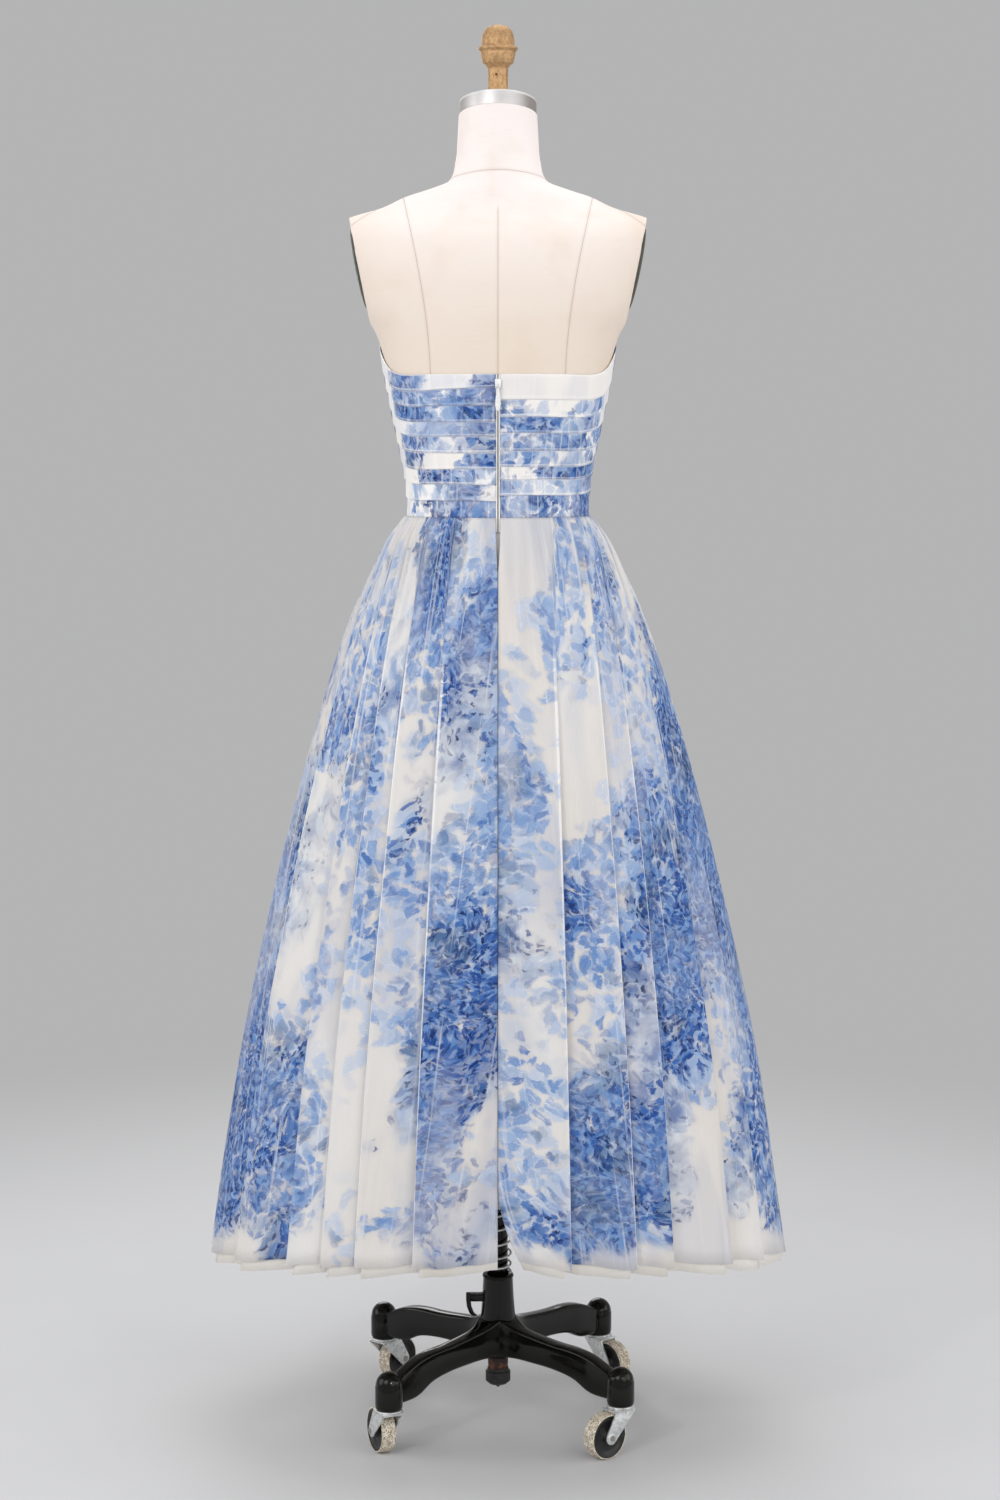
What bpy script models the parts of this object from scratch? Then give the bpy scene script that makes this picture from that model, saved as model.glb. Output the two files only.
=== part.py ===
# Strapless midi dress on a limbless dress form with a rolling stand.
#
# The dress is a printed tulle skirt over a plain underskirt and a lining, gathered into a
# boned bodice of overlapping crosswise pleats that closes with a zip at the centre back.
# It hangs on a covered form, which turns on a post that slides in a cast four-arm base
# on swivel castors. Every sheet of cloth is a true thin wall.
#
# Frame: metres, +Z up, origin on the floor under the post. The back of the dress faces -Y
# and its front +Y. Turn angles start at the centre back and grow towards +X.

import math

import bmesh
import bpy
from mathutils import Matrix, Vector

# ---------------------------------------------------------------- driving dimensions (m)

SEAM_GAP = 0.0003  # between neighbouring pieces

# Dress heights above the floor
WAIST_Z = 1.183
BACK_TOP_Z = 1.367
SIDE_TOP_Z = 1.402
FRONT_TOP_Z = 1.416
HEM_Z = 0.236
HEM_BACK_RISE = 0.042  # the hem hangs higher at the centre back
HEM_FOLD_DROP = 0.006  # each fold's outer edge hangs this much lower
HEM_DROP_DEPTH = 0.015  # and its drop ends this far behind the edge

# Cloth
TULLE_WALL = 0.0011
UNDERSKIRT_WALL = 0.0010
LINING_WALL = 0.0010
MITRE_LIMIT = 0.45
UNDERSKIRT_DROP = 0.011  # how far it shows below the tulle
UNDERSKIRT_WAIST_INSET = 0.0023
UNDERSKIRT_INSET = 0.0041  # where the folds are full
UNDERSKIRT_TUCK = 0.0072  # how far its fold edges stay behind the tulle's
LINING_LIFT = 0.070  # how far it ends above the tulle's hem
LINING_COLUMNS = 40
LINING_WAVES = 10
LINING_LEVELS = (
    # (skirt section, how far inside the tulle, depth of its own soft waves)
    (0, 0.0039, 0.0),
    (2, 0.0095, 0.0),
    (4, 0.0230, 0.0020),
    (6, 0.0290, 0.0035),
    (7, 0.0300, 0.0045),
)

# Bodice, measured outwards from the form
BODICE_EASE = 0.0017
BODICE_PLAIN = 0.0029
BODICE_PLEAT = 0.0050
PLEAT_STEP = 0.0009  # height over which a pleat's folded edge steps back
SIDE_SEAM_DEG = 86.0  # pieces are made wider, then trimmed at the seam
BODICE_PLAIN_TOP = 1.35  # below this the inner side follows the form's own sections
BODICE_INNER_SHARE = 0.6  # where the inner side's last row lies, up to the top edge
TOP_EDGE_KEYS = (
    # (turn from the centre back, height)
    (0.0, BACK_TOP_Z),
    (56.0, BACK_TOP_Z),
    (72.0, BACK_TOP_Z + 0.009),
    (90.0, SIDE_TOP_Z),
    (110.0, SIDE_TOP_Z + 0.008),
    (150.0, FRONT_TOP_Z),
    (180.0, FRONT_TOP_Z - 0.010),
)

# Zip
ZIP_HALF_WIDTH = 0.0025
ZIP_THICKNESS = 0.0014
ZIP_OUT = 0.0010  # how far the coil lies off the form
ZIP_WAIST_OUT = 0.0046  # and at the waist, where it passes over the underskirt
ZIP_FOOT_SLOPE = 0.56
ZIP_BOTTOM_Z = 1.1665
ZIP_TOP_DROP = 0.001
SLIDER_Z = 1.3545
SLIDER_WIDTH = 0.0085
SLIDER_HEIGHT = 0.0120
SLIDER_THICKNESS = 0.0026
SLIDER_BEVEL = 0.0008
SLIDER_NECK_WIDTH = 0.0044
SLIDER_EAR = (0.0010, 0.0045, 0.0040)
SLIDER_EAR_SIDE = 0.0019
UNION_DEPTH = 0.0005  # how far joined shapes run into each other
PIN_OUT = 0.0022  # from the slider's face to the pin's axis
PIN_UP = 0.0028  # from the slider's lower end
PIN_LENGTH = 0.0034
PULL_LENGTH = 0.031
PULL_WIDTH = 0.0070
PULL_THICKNESS = 0.0016
PULL_PIN_RADIUS = 0.0007
PULL_KNUCKLE_RADIUS = 0.0018
PULL_KNUCKLE_LENGTH = 0.0024
PULL_EDGE = (
    # (half-width as a share of the width, distance down as a share of the length)
    (0.17, 0.035),
    (0.22, 0.13),
    (0.42, 0.45),
    (0.50, 0.72),
    (0.34, 0.92),
)

# Centre-back slit at the hem
SLIT_HEIGHT = 0.085
SLIT_WIDTH = 0.034

# Form
FORM_COLUMNS = 32
BOARD_THICKNESS = 0.012
BOARD_INSET = 0.002
NECK_TILT_DEG = 13.4
NECK_RING_RADIUS = 0.050
NECK_RING_HEIGHT = 0.020
NECK_RING_Z = 1.703
NECK_RING_Y = 0.012
NECK_KNOB_PROFILE = (
    # (radius, height above the floor)
    (0.0000, 1.8215),
    (0.0100, 1.8195),
    (0.0180, 1.8130),
    (0.0220, 1.7970),
    (0.0262, 1.7935),
    (0.0262, 1.7880),
    (0.0230, 1.7840),
    (0.0200, 1.7700),
    (0.0135, 1.7610),
    (0.0135, 1.7100),
    (0.0000, 1.7100),
)
ARM_TOP = (0.1912, 1.566)  # x, z of the flat arm end
ARM_BOTTOM = (0.1672, 1.445)
ARM_PLATE_LENGTH = 0.110
ARM_PLATE_WIDTH = 0.078
ARM_PLATE_THICKNESS = 0.006

# Post and base
POST_RADIUS = 0.013
POST_BOTTOM_Z = 0.1006
SOCKET_RADIUS = 0.021
SOCKET_LENGTH = 0.060
FLANGE_RADIUS = 0.046
FLANGE_THICKNESS = 0.006
FLANGE_SLOPE = 0.004
SOCKET_ROOF = 0.004  # what is left of the flange above the bore
HUB_TOP_Z = 0.190
HUB_BOTTOM_Z = 0.0830
HUB_PROFILE = (
    # (radius, height above the floor), below the rounded top edge
    (0.0228, 0.1320),
    (0.0250, 0.1200),
    (0.0250, 0.0900),
    (0.0215, HUB_BOTTOM_Z),
    (0.0, HUB_BOTTOM_Z),
)
HUB_TOP_RADIUS = 0.0205
HUB_TOP_BEVEL = (0.0017, 0.0030)  # in from the side, down from the top
COLLAR_Z = 0.2975
COLLAR_HEIGHT = 0.016
COLLAR_RADIUS = 0.0205
COLLAR_BEVEL = 0.002
SPRING_RADIUS = 0.0168
SPRING_WIRE = 0.00145
SPRING_TURNS = 7
SPRING_STEPS = 8  # points in a turn
SPRING_START = -0.5  # radians
SPRING_END_CLOSING = 0.35  # how much flatter the end turns lie
ARM_REACH = 0.2073
ARM_TURN_DEG = 3.5
ARM_TOP_BEVEL = 0.0045
ARM_SECTIONS = (
    # (distance from the axis, top height, bottom height, half-width)
    (0.0165, 0.1340, 0.0855, 0.0105),
    (0.0550, 0.1230, 0.0860, 0.0100),
    (0.1000, 0.1190, 0.0850, 0.0096),
    (0.1350, 0.1180, 0.0800, 0.0096),
    (0.1620, 0.1135, 0.0685, 0.0098),
    (0.1995, 0.0985, 0.0668, 0.0095),
)
SOCKET_DOME_RADIUS = 0.0176
SOCKET_TOP_Z = 0.110
SOCKET_BOTTOM_Z = 0.0632
FOOT_PROFILE = (
    # (radius, height above the floor): the sleeve's end, then its rubber buffer
    (0.0, HUB_BOTTOM_Z - SEAM_GAP),
    (0.0115, HUB_BOTTOM_Z - SEAM_GAP),
    (0.0115, 0.0665),
    (0.0162, 0.0580),
    (0.0162, 0.0500),
    (0.0120, 0.0450),
    (0.0028, 0.0440),
    (0.0028, 0.0395),
    (0.0, 0.0395),
)
LEVER_BLOCK_SIZE = (0.020, 0.012, 0.010)
LEVER_BLOCK_CENTRE = (-0.0265, 0.0, 0.1585)
LEVER_HALF_THICKNESS = 0.0022
LEVER_HALF_WIDTH = 0.004
LEVER_PATH = (
    # (x, z) from its pivot down towards the hub
    (-0.0390, 0.1640),
    (-0.0390, 0.1550),
    (-0.0378, 0.1460),
    (-0.0345, 0.1375),
    (-0.0300, 0.1335),
)

# Castors
WHEEL_RADIUS = 0.0285
WHEEL_HALF_WIDTH = 0.0100
WHEEL_STEPS = 14  # leaves a flat facet on the floor
WHEEL_HUB_RADIUS = 0.0100
WHEEL_DISC_RADII = (0.0120, 0.0225)  # between them the sides are dished
WHEEL_DISH = 0.0025
WHEEL_SHOULDER = 0.0010
CASTOR_TRAIL = 0.027
AXLE_RADIUS = 0.0032
AXLE_BOSS_RADIUS = 0.0085
FORK_INNER = 0.0118
FORK_PLATE = 0.0022
FORK_NOSE_X = -0.0130
FORK_BACK_X = 0.0195
FORK_CHEEK_DROP = 0.0020
FORK_CROWN = (0.0010, 0.0012)  # above and below the race's lower face
FORK_BOSS_ARC = (215.0, 165.0)  # degrees: where the round end starts, and how far it goes
FORK_BOSS_STEPS = 3
AXLE_HEAD_END = 0.0165
RACE_RADIUS = 0.0178
RACE_BOTTOM_Z = 0.0586
STEM_RADIUS = 0.0055
STEM_LENGTH = 0.022
RACE_BEVEL = 0.0015
MERGE_DISTANCE = 0.000002
WELD_DISTANCE = 0.00005

# Skirt sections from the waist seam to the hem: height, half-width, half-depth, depth of
# the gathers, and how far the long folds are developed.
SKIRT_SECTIONS = [
    # (z, half_width, half_depth, gather, fold)
    (1.1830, 0.1206, 0.0922, 0.0007, 0.00),
    (1.1550, 0.1418, 0.1114, 0.0022, 0.00),
    (1.1150, 0.1615, 0.1297, 0.0026, 0.07),
    (1.0450, 0.1940, 0.1559, 0.0010, 0.28),
    (0.9200, 0.2350, 0.1868, 0.0000, 0.61),
    (0.7600, 0.2785, 0.2155, 0.0000, 0.88),
    (0.5000, 0.3375, 0.2500, 0.0000, 1.00),
    (HEM_Z, 0.3780, 0.2720, 0.0000, 1.00),
]
UNDERSKIRT_SECTIONS = (0, 2, 3, 4, 5, 6, 7)

# Long folds, from the centre back round to the centre front. A panel ends at its crisp
# edge, which turns under and overlaps the next panel: angle at the hem and at the waist,
# how far the cloth returns under the edge, how deep, and the cloth columns in the panel.
RIGHT_FOLDS = [
    # (hem_deg, waist_deg, return_deg, depth, columns)
    (13.9, 34.0, 1.9, 0.0180, 8),
    (27.1, 55.0, 1.6, 0.0150, 7),
    (35.4, 69.0, 1.4, 0.0120, 5),
    (51.5, 84.0, 1.7, 0.0155, 6),
    (64.0, 98.0, 1.8, 0.0135, 5),
    (80.0, 111.0, 1.9, 0.0135, 6),
    (99.0, 125.0, 1.9, 0.0145, 6),
    (119.0, 140.0, 1.8, 0.0150, 5),
    (138.0, 153.0, 1.7, 0.0150, 5),
    (160.0, 166.0, 1.7, 0.0160, 5),
]
LEFT_FOLDS = [
    # (hem_deg, waist_deg, return_deg, depth, columns)
    (16.2, 27.0, 1.9, 0.0180, 8),
    (28.0, 45.0, 1.6, 0.0145, 6),
    (35.8, 57.0, 1.4, 0.0120, 5),
    (44.5, 69.0, 1.4, 0.0130, 5),
    (62.5, 88.0, 1.7, 0.0155, 6),
    (79.0, 104.0, 1.9, 0.0140, 6),
    (97.0, 120.0, 1.9, 0.0140, 6),
    (116.0, 136.0, 1.8, 0.0150, 5),
    (137.0, 151.0, 1.7, 0.0155, 5),
    (158.0, 165.0, 1.7, 0.0160, 5),
]
FRONT_PANEL_COLUMNS = 7
FOLD_CREST = 0.985  # share of a panel at which its edge starts to turn
FOLD_TURN_IN = 0.22  # share of the depth at which the crisp edge has turned
FOLD_BELLY = 1.5  # how the panel swells towards its edge
SIDE_SEAM_FOLD = 6  # the side seams lie in this panel of each side

# Lower edges of the bodice's pleats as shares of its height, from the top edge down
LEFT_PLEATS = (0.12, 0.22, 0.33, 0.43, 0.545, 0.66, 0.765, 0.88)
RIGHT_PLEATS = (0.175, 0.295, 0.405, 0.53, 0.64, 0.73, 0.84)
FRONT_PLEATS = (0.125, 0.215, 0.305, 0.40, 0.498, 0.62, 0.74, 0.87)
PLEAT_SLANT = 0.0045  # the top pleat's lower edge rises towards the centre back

# Form sections from its bottom board to the neck
FORM_SECTIONS = [
    # (z, half_width, back_depth, front_depth, centre_y, squareness)
    (0.930, 0.1600, 0.1180, 0.1060, 0.000, 2.2),
    (0.990, 0.1660, 0.1230, 0.1100, 0.000, 2.2),
    (1.050, 0.1530, 0.1130, 0.1030, 0.000, 2.2),
    (1.110, 0.1310, 0.0980, 0.0920, 0.000, 2.0),
    (1.150, 0.1180, 0.0885, 0.0870, 0.000, 2.0),
    (1.183, 0.1140, 0.0850, 0.0850, 0.000, 2.0),
    (1.212, 0.1150, 0.0856, 0.0890, 0.000, 2.0),
    (1.244, 0.1188, 0.0884, 0.0980, 0.000, 2.0),
    (1.300, 0.1302, 0.0960, 0.1290, 0.000, 2.1),
    (1.345, 0.1396, 0.1015, 0.1450, 0.000, 2.1),
    (1.387, 0.1478, 0.1060, 0.1440, 0.000, 2.2),
    (1.418, 0.1570, 0.1085, 0.1330, 0.000, 2.2),
    (1.450, 0.1750, 0.1100, 0.1200, 0.000, 2.2),
    (1.500, 0.1950, 0.1080, 0.1060, 0.000, 2.2),
    (1.540, 0.2080, 0.0980, 0.0880, 0.000, 2.2),
    (1.560, 0.2080, 0.0820, 0.0740, 0.000, 2.2),
    (1.570, 0.1940, 0.0700, 0.0650, 0.000, 2.2),
    (1.583, 0.1510, 0.0620, 0.0600, 0.000, 2.2),
    (1.597, 0.1210, 0.0580, 0.0570, 0.001, 2.2),
    (1.608, 0.0880, 0.0560, 0.0560, 0.002, 2.1),
    (1.618, 0.0640, 0.0545, 0.0550, 0.003, 2.0),
    (1.645, 0.0550, 0.0520, 0.0530, 0.006, 2.0),
    (1.672, 0.0527, 0.0505, 0.0505, 0.009, 2.0),
    (1.722, 0.0502, 0.0502, 0.0502, 0.013, 2.0),
]

# Castors: side name, base arm angle from +X, and the way the wheel trails
CASTORS = [
    ("back_left", -135.0, 113.0),
    ("back_right", -45.0, -140.0),
    ("front_right", 45.0, -49.5),
    ("front_left", 135.0, 49.5),
]

# Colours: name, RGB, roughness, metallic
FINISHES = {
    "printed_tulle": ((0.50, 0.62, 0.80), 0.70, 0.0),
    "underskirt_cloth": ((0.86, 0.81, 0.74), 0.75, 0.0),
    "lining_cloth": ((0.92, 0.91, 0.89), 0.70, 0.0),
    "form_linen": ((0.86, 0.77, 0.66), 0.85, 0.0),
    "board": ((0.55, 0.46, 0.36), 0.60, 0.0),
    "zip_white": ((0.80, 0.80, 0.79), 0.45, 0.0),
    "brushed_steel": ((0.60, 0.60, 0.60), 0.35, 1.0),
    "aged_brass": ((0.55, 0.42, 0.22), 0.40, 1.0),
    "dark_plate": ((0.10, 0.10, 0.11), 0.45, 0.8),
    "black_enamel": ((0.012, 0.012, 0.013), 0.22, 0.0),
    "zinc": ((0.55, 0.56, 0.57), 0.38, 1.0),
    "black_rubber": ((0.02, 0.02, 0.02), 0.65, 0.0),
    "wheel": ((0.05, 0.05, 0.05), 0.50, 0.0),
}


# ---------------------------------------------------------------------- shared helpers


def clear_scene():
    for obj in list(bpy.data.objects):
        bpy.data.objects.remove(obj, do_unlink=True)


def new_collection(name):
    collection = bpy.data.collections.new(name)
    bpy.context.scene.collection.children.link(collection)
    return collection


def finish(name):
    material = bpy.data.materials.get(name)
    if material is None:
        colour, roughness, metallic = FINISHES[name]
        material = bpy.data.materials.new(name)
        material.use_nodes = True
        shader = material.node_tree.nodes["Principled BSDF"]
        shader.inputs["Base Color"].default_value = (*colour, 1.0)
        shader.inputs["Roughness"].default_value = roughness
        shader.inputs["Metallic"].default_value = metallic
    return material


def add_mesh(name, bm, finish_name, location=(0.0, 0.0, 0.0), collection=None):
    mesh = bpy.data.meshes.new(name)
    bm.to_mesh(mesh)
    bm.free()
    mesh.materials.append(finish(finish_name))
    obj = bpy.data.objects.new(name, mesh)
    obj.location = location
    (collection or parts).objects.link(obj)
    return obj


def add_cutter(name, bm, location=(0.0, 0.0, 0.0)):
    obj = add_mesh(name, bm, "board", location, cutters)
    obj.hide_render = True
    obj.display_type = "WIRE"
    return obj


def boolean(obj, other, operation):
    modifier = obj.modifiers.new(operation.lower(), "BOOLEAN")
    modifier.operation = operation
    modifier.object = other
    modifier.solver = "EXACT"


def grid(rows, closed=False):
    """Faces over rows of points that run from top to bottom, facing outwards."""
    bm = bmesh.new()
    verts = [[bm.verts.new(point) for point in row] for row in rows]
    add_grid_faces(bm, verts, closed)
    return bm


def add_grid_faces(bm, verts, closed=False, inwards=False):
    count = len(verts[0])
    for upper, lower in zip(verts, verts[1:]):
        for i in range(count if closed else count - 1):
            k = (i + 1) % count
            # The same diagonal on both sides of a wall keeps them parallel
            for corners in ((lower[i], lower[k], upper[k]), (lower[i], upper[k], upper[i])):
                bm.faces.new(reversed(corners) if inwards else corners)


def inner_rows(rows, thickness, closed=False):
    """The inner side of a wall: each point moved in, mitred so that folds keep their wall."""
    inside = []
    count = len(rows[0])
    for j, row in enumerate(rows):
        above, below = rows[max(j - 1, 0)], rows[min(j + 1, len(rows) - 1)]
        moved = []
        for i, point in enumerate(row):
            up = above[i] - below[i]
            ahead = row[(i + 1) % count] if closed or i < count - 1 else 2.0 * point - row[i - 1]
            behind = row[i - 1] if closed or i > 0 else 2.0 * point - row[i + 1]
            before = (point - behind).cross(up).normalized()
            after = (ahead - point).cross(up).normalized()
            normal = (before + after).normalized()
            moved.append(point - normal * thickness / max(normal.dot(before), MITRE_LIMIT))
        inside.append(moved)
    return inside


def shell(name, outside, inside, finish_name, closed=False):
    """A wall between two grids of points that run from top to bottom."""
    bm = bmesh.new()
    outer = [[bm.verts.new(p) for p in row] for row in outside]
    inner = [[bm.verts.new(p) for p in row] for row in inside]
    add_grid_faces(bm, outer, closed)
    add_grid_faces(bm, inner, closed, inwards=True)
    count = len(outer[0])
    for i in range(count if closed else count - 1):
        k = (i + 1) % count
        bm.faces.new((outer[0][i], outer[0][k], inner[0][k], inner[0][i]))
        bm.faces.new((inner[-1][i], inner[-1][k], outer[-1][k], outer[-1][i]))
    if not closed:
        for a, b, c, d in zip(outer, outer[1:], inner, inner[1:]):
            bm.faces.new((b[0], a[0], c[0], d[0]))
            bm.faces.new((a[-1], b[-1], d[-1], c[-1]))
    add_mesh(name, bm, finish_name)


def turned(name, profile, steps, finish_name, location=(0.0, 0.0, 0.0), collection=None):
    """A turned piece: (radius, height) points, ending on the axis or closed on themselves."""
    bm = bmesh.new()
    verts = [bm.verts.new((radius, 0.0, height)) for radius, height in profile]
    for a, b in zip(verts, verts[1:]):
        bm.edges.new((a, b))
    if profile[0][0] > 0.0:
        bm.edges.new((verts[-1], verts[0]))
    obj = add_mesh(name, bm, finish_name, location, collection)
    screw = obj.modifiers.new("turn", "SCREW")
    screw.steps = steps
    screw.render_steps = steps
    screw.use_merge_vertices = True
    screw.merge_threshold = WELD_DISTANCE
    return obj


def box(size, centre):
    bm = bmesh.new()
    bmesh.ops.create_cube(bm, size=1.0)
    bmesh.ops.scale(bm, vec=size, verts=bm.verts)
    bmesh.ops.translate(bm, vec=centre, verts=bm.verts)
    return bm


def cylinder(radius, depth, segments, centre=(0.0, 0.0, 0.0), axis="Z"):
    turn = {
        "X": Matrix.Rotation(math.pi / 2, 4, "Y"),
        "Y": Matrix.Rotation(-math.pi / 2, 4, "X"),
        "Z": Matrix.Identity(4),
    }[axis]
    bm = bmesh.new()
    bmesh.ops.create_cone(
        bm,
        cap_ends=True,
        segments=segments,
        radius1=radius,
        radius2=radius,
        depth=depth,
        matrix=Matrix.Translation(centre) @ turn,
    )
    return bm


def extruded(outline, half_thickness):
    """A flat (x, z) outline, given a thickness along Y."""
    bm = bmesh.new()
    near = [bm.verts.new((x, -half_thickness, z)) for x, z in outline]
    face = bm.faces.new(near)
    face.normal_update()
    if face.normal.y > 0.0:
        face.normal_flip()
    swept = bmesh.ops.extrude_face_region(bm, geom=[face])
    moved = [item for item in swept["geom"] if isinstance(item, bmesh.types.BMVert)]
    bmesh.ops.translate(bm, vec=(0.0, 2 * half_thickness, 0.0), verts=moved)
    bmesh.ops.recalc_face_normals(bm, faces=bm.faces)
    return bm


def trim(bm, point, normal, side=0.0):
    """Cuts away what lies beyond a plane, on one side of the middle if one is given."""
    faces = [f for f in bm.faces if side == 0.0 or side * f.calc_center_median().x > 0.0]
    edges = {edge for face in faces for edge in face.edges}
    verts = {vert for face in faces for vert in face.verts}
    geometry = faces + list(edges) + list(verts)
    cut = bmesh.ops.bisect_plane(
        bm, geom=geometry, plane_co=point, plane_no=normal, clear_outer=True
    )
    edges = [item for item in cut["geom_cut"] if isinstance(item, bmesh.types.BMEdge)]
    bmesh.ops.holes_fill(bm, edges=edges)


def interpolate(table, z):
    """Reads a section table at a height, on straight lines between its rows."""
    k = 0
    while k < len(table) - 2 and table[k + 1][0] < z:
        k += 1
    low, high = table[k], table[k + 1]
    share = (z - low[0]) / (high[0] - low[0])
    return [start + (end - start) * share for start, end in zip(low[1:], high[1:])]


def signed_power(value, power):
    return math.copysign(abs(value) ** power, value)


# ---------------------------------------------------------------------------- the form


def form_point(z, degrees, outwards=0.0):
    half_width, back, front, centre_y, squareness = interpolate(FORM_SECTIONS, z)
    angle = math.radians(degrees)
    sine, cosine = math.sin(angle), math.cos(angle)
    depth = back if cosine > 0.0 else front
    power = 2.0 / squareness
    x = (half_width + outwards) * signed_power(sine, power)
    y = centre_y - (depth + outwards) * signed_power(cosine, power)
    return Vector((x, y, z))


def form_ring(z):
    return [form_point(z, 360.0 * i / FORM_COLUMNS) for i in range(FORM_COLUMNS)]


def make_torso():
    rows = [form_ring(section[0]) for section in reversed(FORM_SECTIONS)]
    bm = grid(rows, closed=True)
    bm.verts.ensure_lookup_table()
    count = FORM_COLUMNS
    bm.faces.new(bm.verts[:count])
    bm.faces.new(reversed(bm.verts[-count:]))
    slope = Vector((ARM_TOP[0] - ARM_BOTTOM[0], 0.0, ARM_TOP[1] - ARM_BOTTOM[1]))
    for side in (1.0, -1.0):
        normal = Vector((side * slope.z, 0.0, -slope.x)).normalized()
        trim(bm, (side * ARM_TOP[0], 0.0, ARM_TOP[1]), normal)
    trim(bm, (0.0, NECK_RING_Y, NECK_RING_Z), neck_normal())
    add_mesh("form_torso", bm, "form_linen")


def neck_normal():
    tilt = math.radians(NECK_TILT_DEG)
    return Vector((0.0, math.sin(tilt), math.cos(tilt)))


def make_neck():
    tilt = Matrix.Rotation(-math.radians(NECK_TILT_DEG), 4, "X")
    base = Vector((0.0, NECK_RING_Y, NECK_RING_Z)) + neck_normal() * SEAM_GAP
    ring = cylinder(NECK_RING_RADIUS, NECK_RING_HEIGHT, 28, (0.0, 0.0, NECK_RING_HEIGHT / 2))
    bmesh.ops.transform(ring, matrix=Matrix.Translation(base) @ tilt, verts=ring.verts)
    add_mesh("neck_ring", ring, "brushed_steel")

    top = base + neck_normal() * (NECK_RING_HEIGHT + SEAM_GAP)
    lifted = [(radius, height - NECK_RING_Z) for radius, height in NECK_KNOB_PROFILE]
    knob = turned("neck_knob", lifted, 16, "aged_brass", (0.0, NECK_RING_Y, NECK_RING_Z))
    reach = 0.08
    size = (reach, reach, reach)
    cutter = box(size, (0.0, 0.0, -reach / 2))
    bmesh.ops.transform(cutter, matrix=Matrix.Translation(top) @ tilt, verts=cutter.verts)
    boolean(knob, add_cutter("knob_foot_cutter", cutter), "DIFFERENCE")


def make_arm_plates():
    slope = Vector((ARM_TOP[0] - ARM_BOTTOM[0], 0.0, ARM_TOP[1] - ARM_BOTTOM[1]))
    middle = Vector(((ARM_TOP[0] + ARM_BOTTOM[0]) / 2, 0.0, (ARM_TOP[1] + ARM_BOTTOM[1]) / 2))
    lean = math.atan2(slope.x, slope.z)
    normal = Vector((slope.z, 0.0, -slope.x)).normalized()
    for name, side in (("arm_plate_right", 1.0), ("arm_plate_left", -1.0)):
        bm = cylinder(0.5, ARM_PLATE_THICKNESS, 24, axis="X")
        bmesh.ops.scale(bm, vec=(1.0, ARM_PLATE_WIDTH, ARM_PLATE_LENGTH), verts=bm.verts)
        turn = Matrix.Rotation(lean, 4, "Y")
        centre = middle + normal * (ARM_PLATE_THICKNESS / 2 + SEAM_GAP)
        bmesh.ops.transform(bm, matrix=Matrix.Translation(centre) @ turn, verts=bm.verts)
        if side < 0.0:
            bmesh.ops.scale(bm, vec=(-1.0, 1.0, 1.0), verts=bm.verts)
            bmesh.ops.reverse_faces(bm, faces=bm.faces)
        add_mesh(name, bm, "dark_plate")


def make_form_foot():
    """The board that closes the form's bottom, and the socket that sits on the post."""
    top = FORM_SECTIONS[0][0] - SEAM_GAP
    turns = [360.0 * i / FORM_COLUMNS for i in range(FORM_COLUMNS)]
    ring = [form_point(FORM_SECTIONS[0][0], degrees, -BOARD_INSET) for degrees in turns]
    rows = [[Vector((p.x, p.y, z)) for p in ring] for z in (top, top - BOARD_THICKNESS)]
    bm = grid(rows, closed=True)
    bm.verts.ensure_lookup_table()
    bm.faces.new(bm.verts[:FORM_COLUMNS])
    bm.faces.new(reversed(bm.verts[-FORM_COLUMNS:]))
    add_mesh("form_board", bm, "board")

    seat = top - BOARD_THICKNESS - SEAM_GAP
    bore = POST_RADIUS + SEAM_GAP
    roof = seat - SOCKET_ROOF
    profile = [
        (0.0, seat),
        (FLANGE_RADIUS, seat),
        (FLANGE_RADIUS, seat - FLANGE_THICKNESS),
        (SOCKET_RADIUS, seat - FLANGE_THICKNESS - FLANGE_SLOPE),
        (SOCKET_RADIUS, seat - SOCKET_LENGTH),
        (bore, seat - SOCKET_LENGTH),
        (bore, roof),
        (0.0, roof),
    ]
    turned("post_socket", profile, 16, "black_enamel")
    return roof - SEAM_GAP


# -------------------------------------------------------------------------- the skirt


def panel_columns(folds, mirrored):
    """Cloth columns of one half, from the centre back to the last fold before the front."""
    columns = []
    hem_start, waist_start = 0.0, 0.0
    for panel, (hem_end, waist_end, back, depth, count) in enumerate(folds):
        for k in range(count):
            share = min(k / (count - 2), 1.0)
            last = k == count - 1
            hem = hem_end if last else hem_start + (hem_end - hem_start) * share * FOLD_CREST
            lift = -FOLD_TURN_IN if last else -((1.0 - share) ** FOLD_BELLY)
            waist = waist_start + (waist_end - waist_start) * (k + 0.5) / count
            tuck = share if panel == 0 else 1.0
            columns.append((hem, waist, lift * depth, tuck, panel))
        hem_start, waist_start = hem_end - back, waist_end
    columns[0] = (0.0, 0.0, *columns[0][2:])
    if mirrored:
        turned_round = [(360.0 - h, 360.0 - w, d, -t, p) for h, w, d, t, p in columns]
        return list(reversed(turned_round))
    return columns


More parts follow.
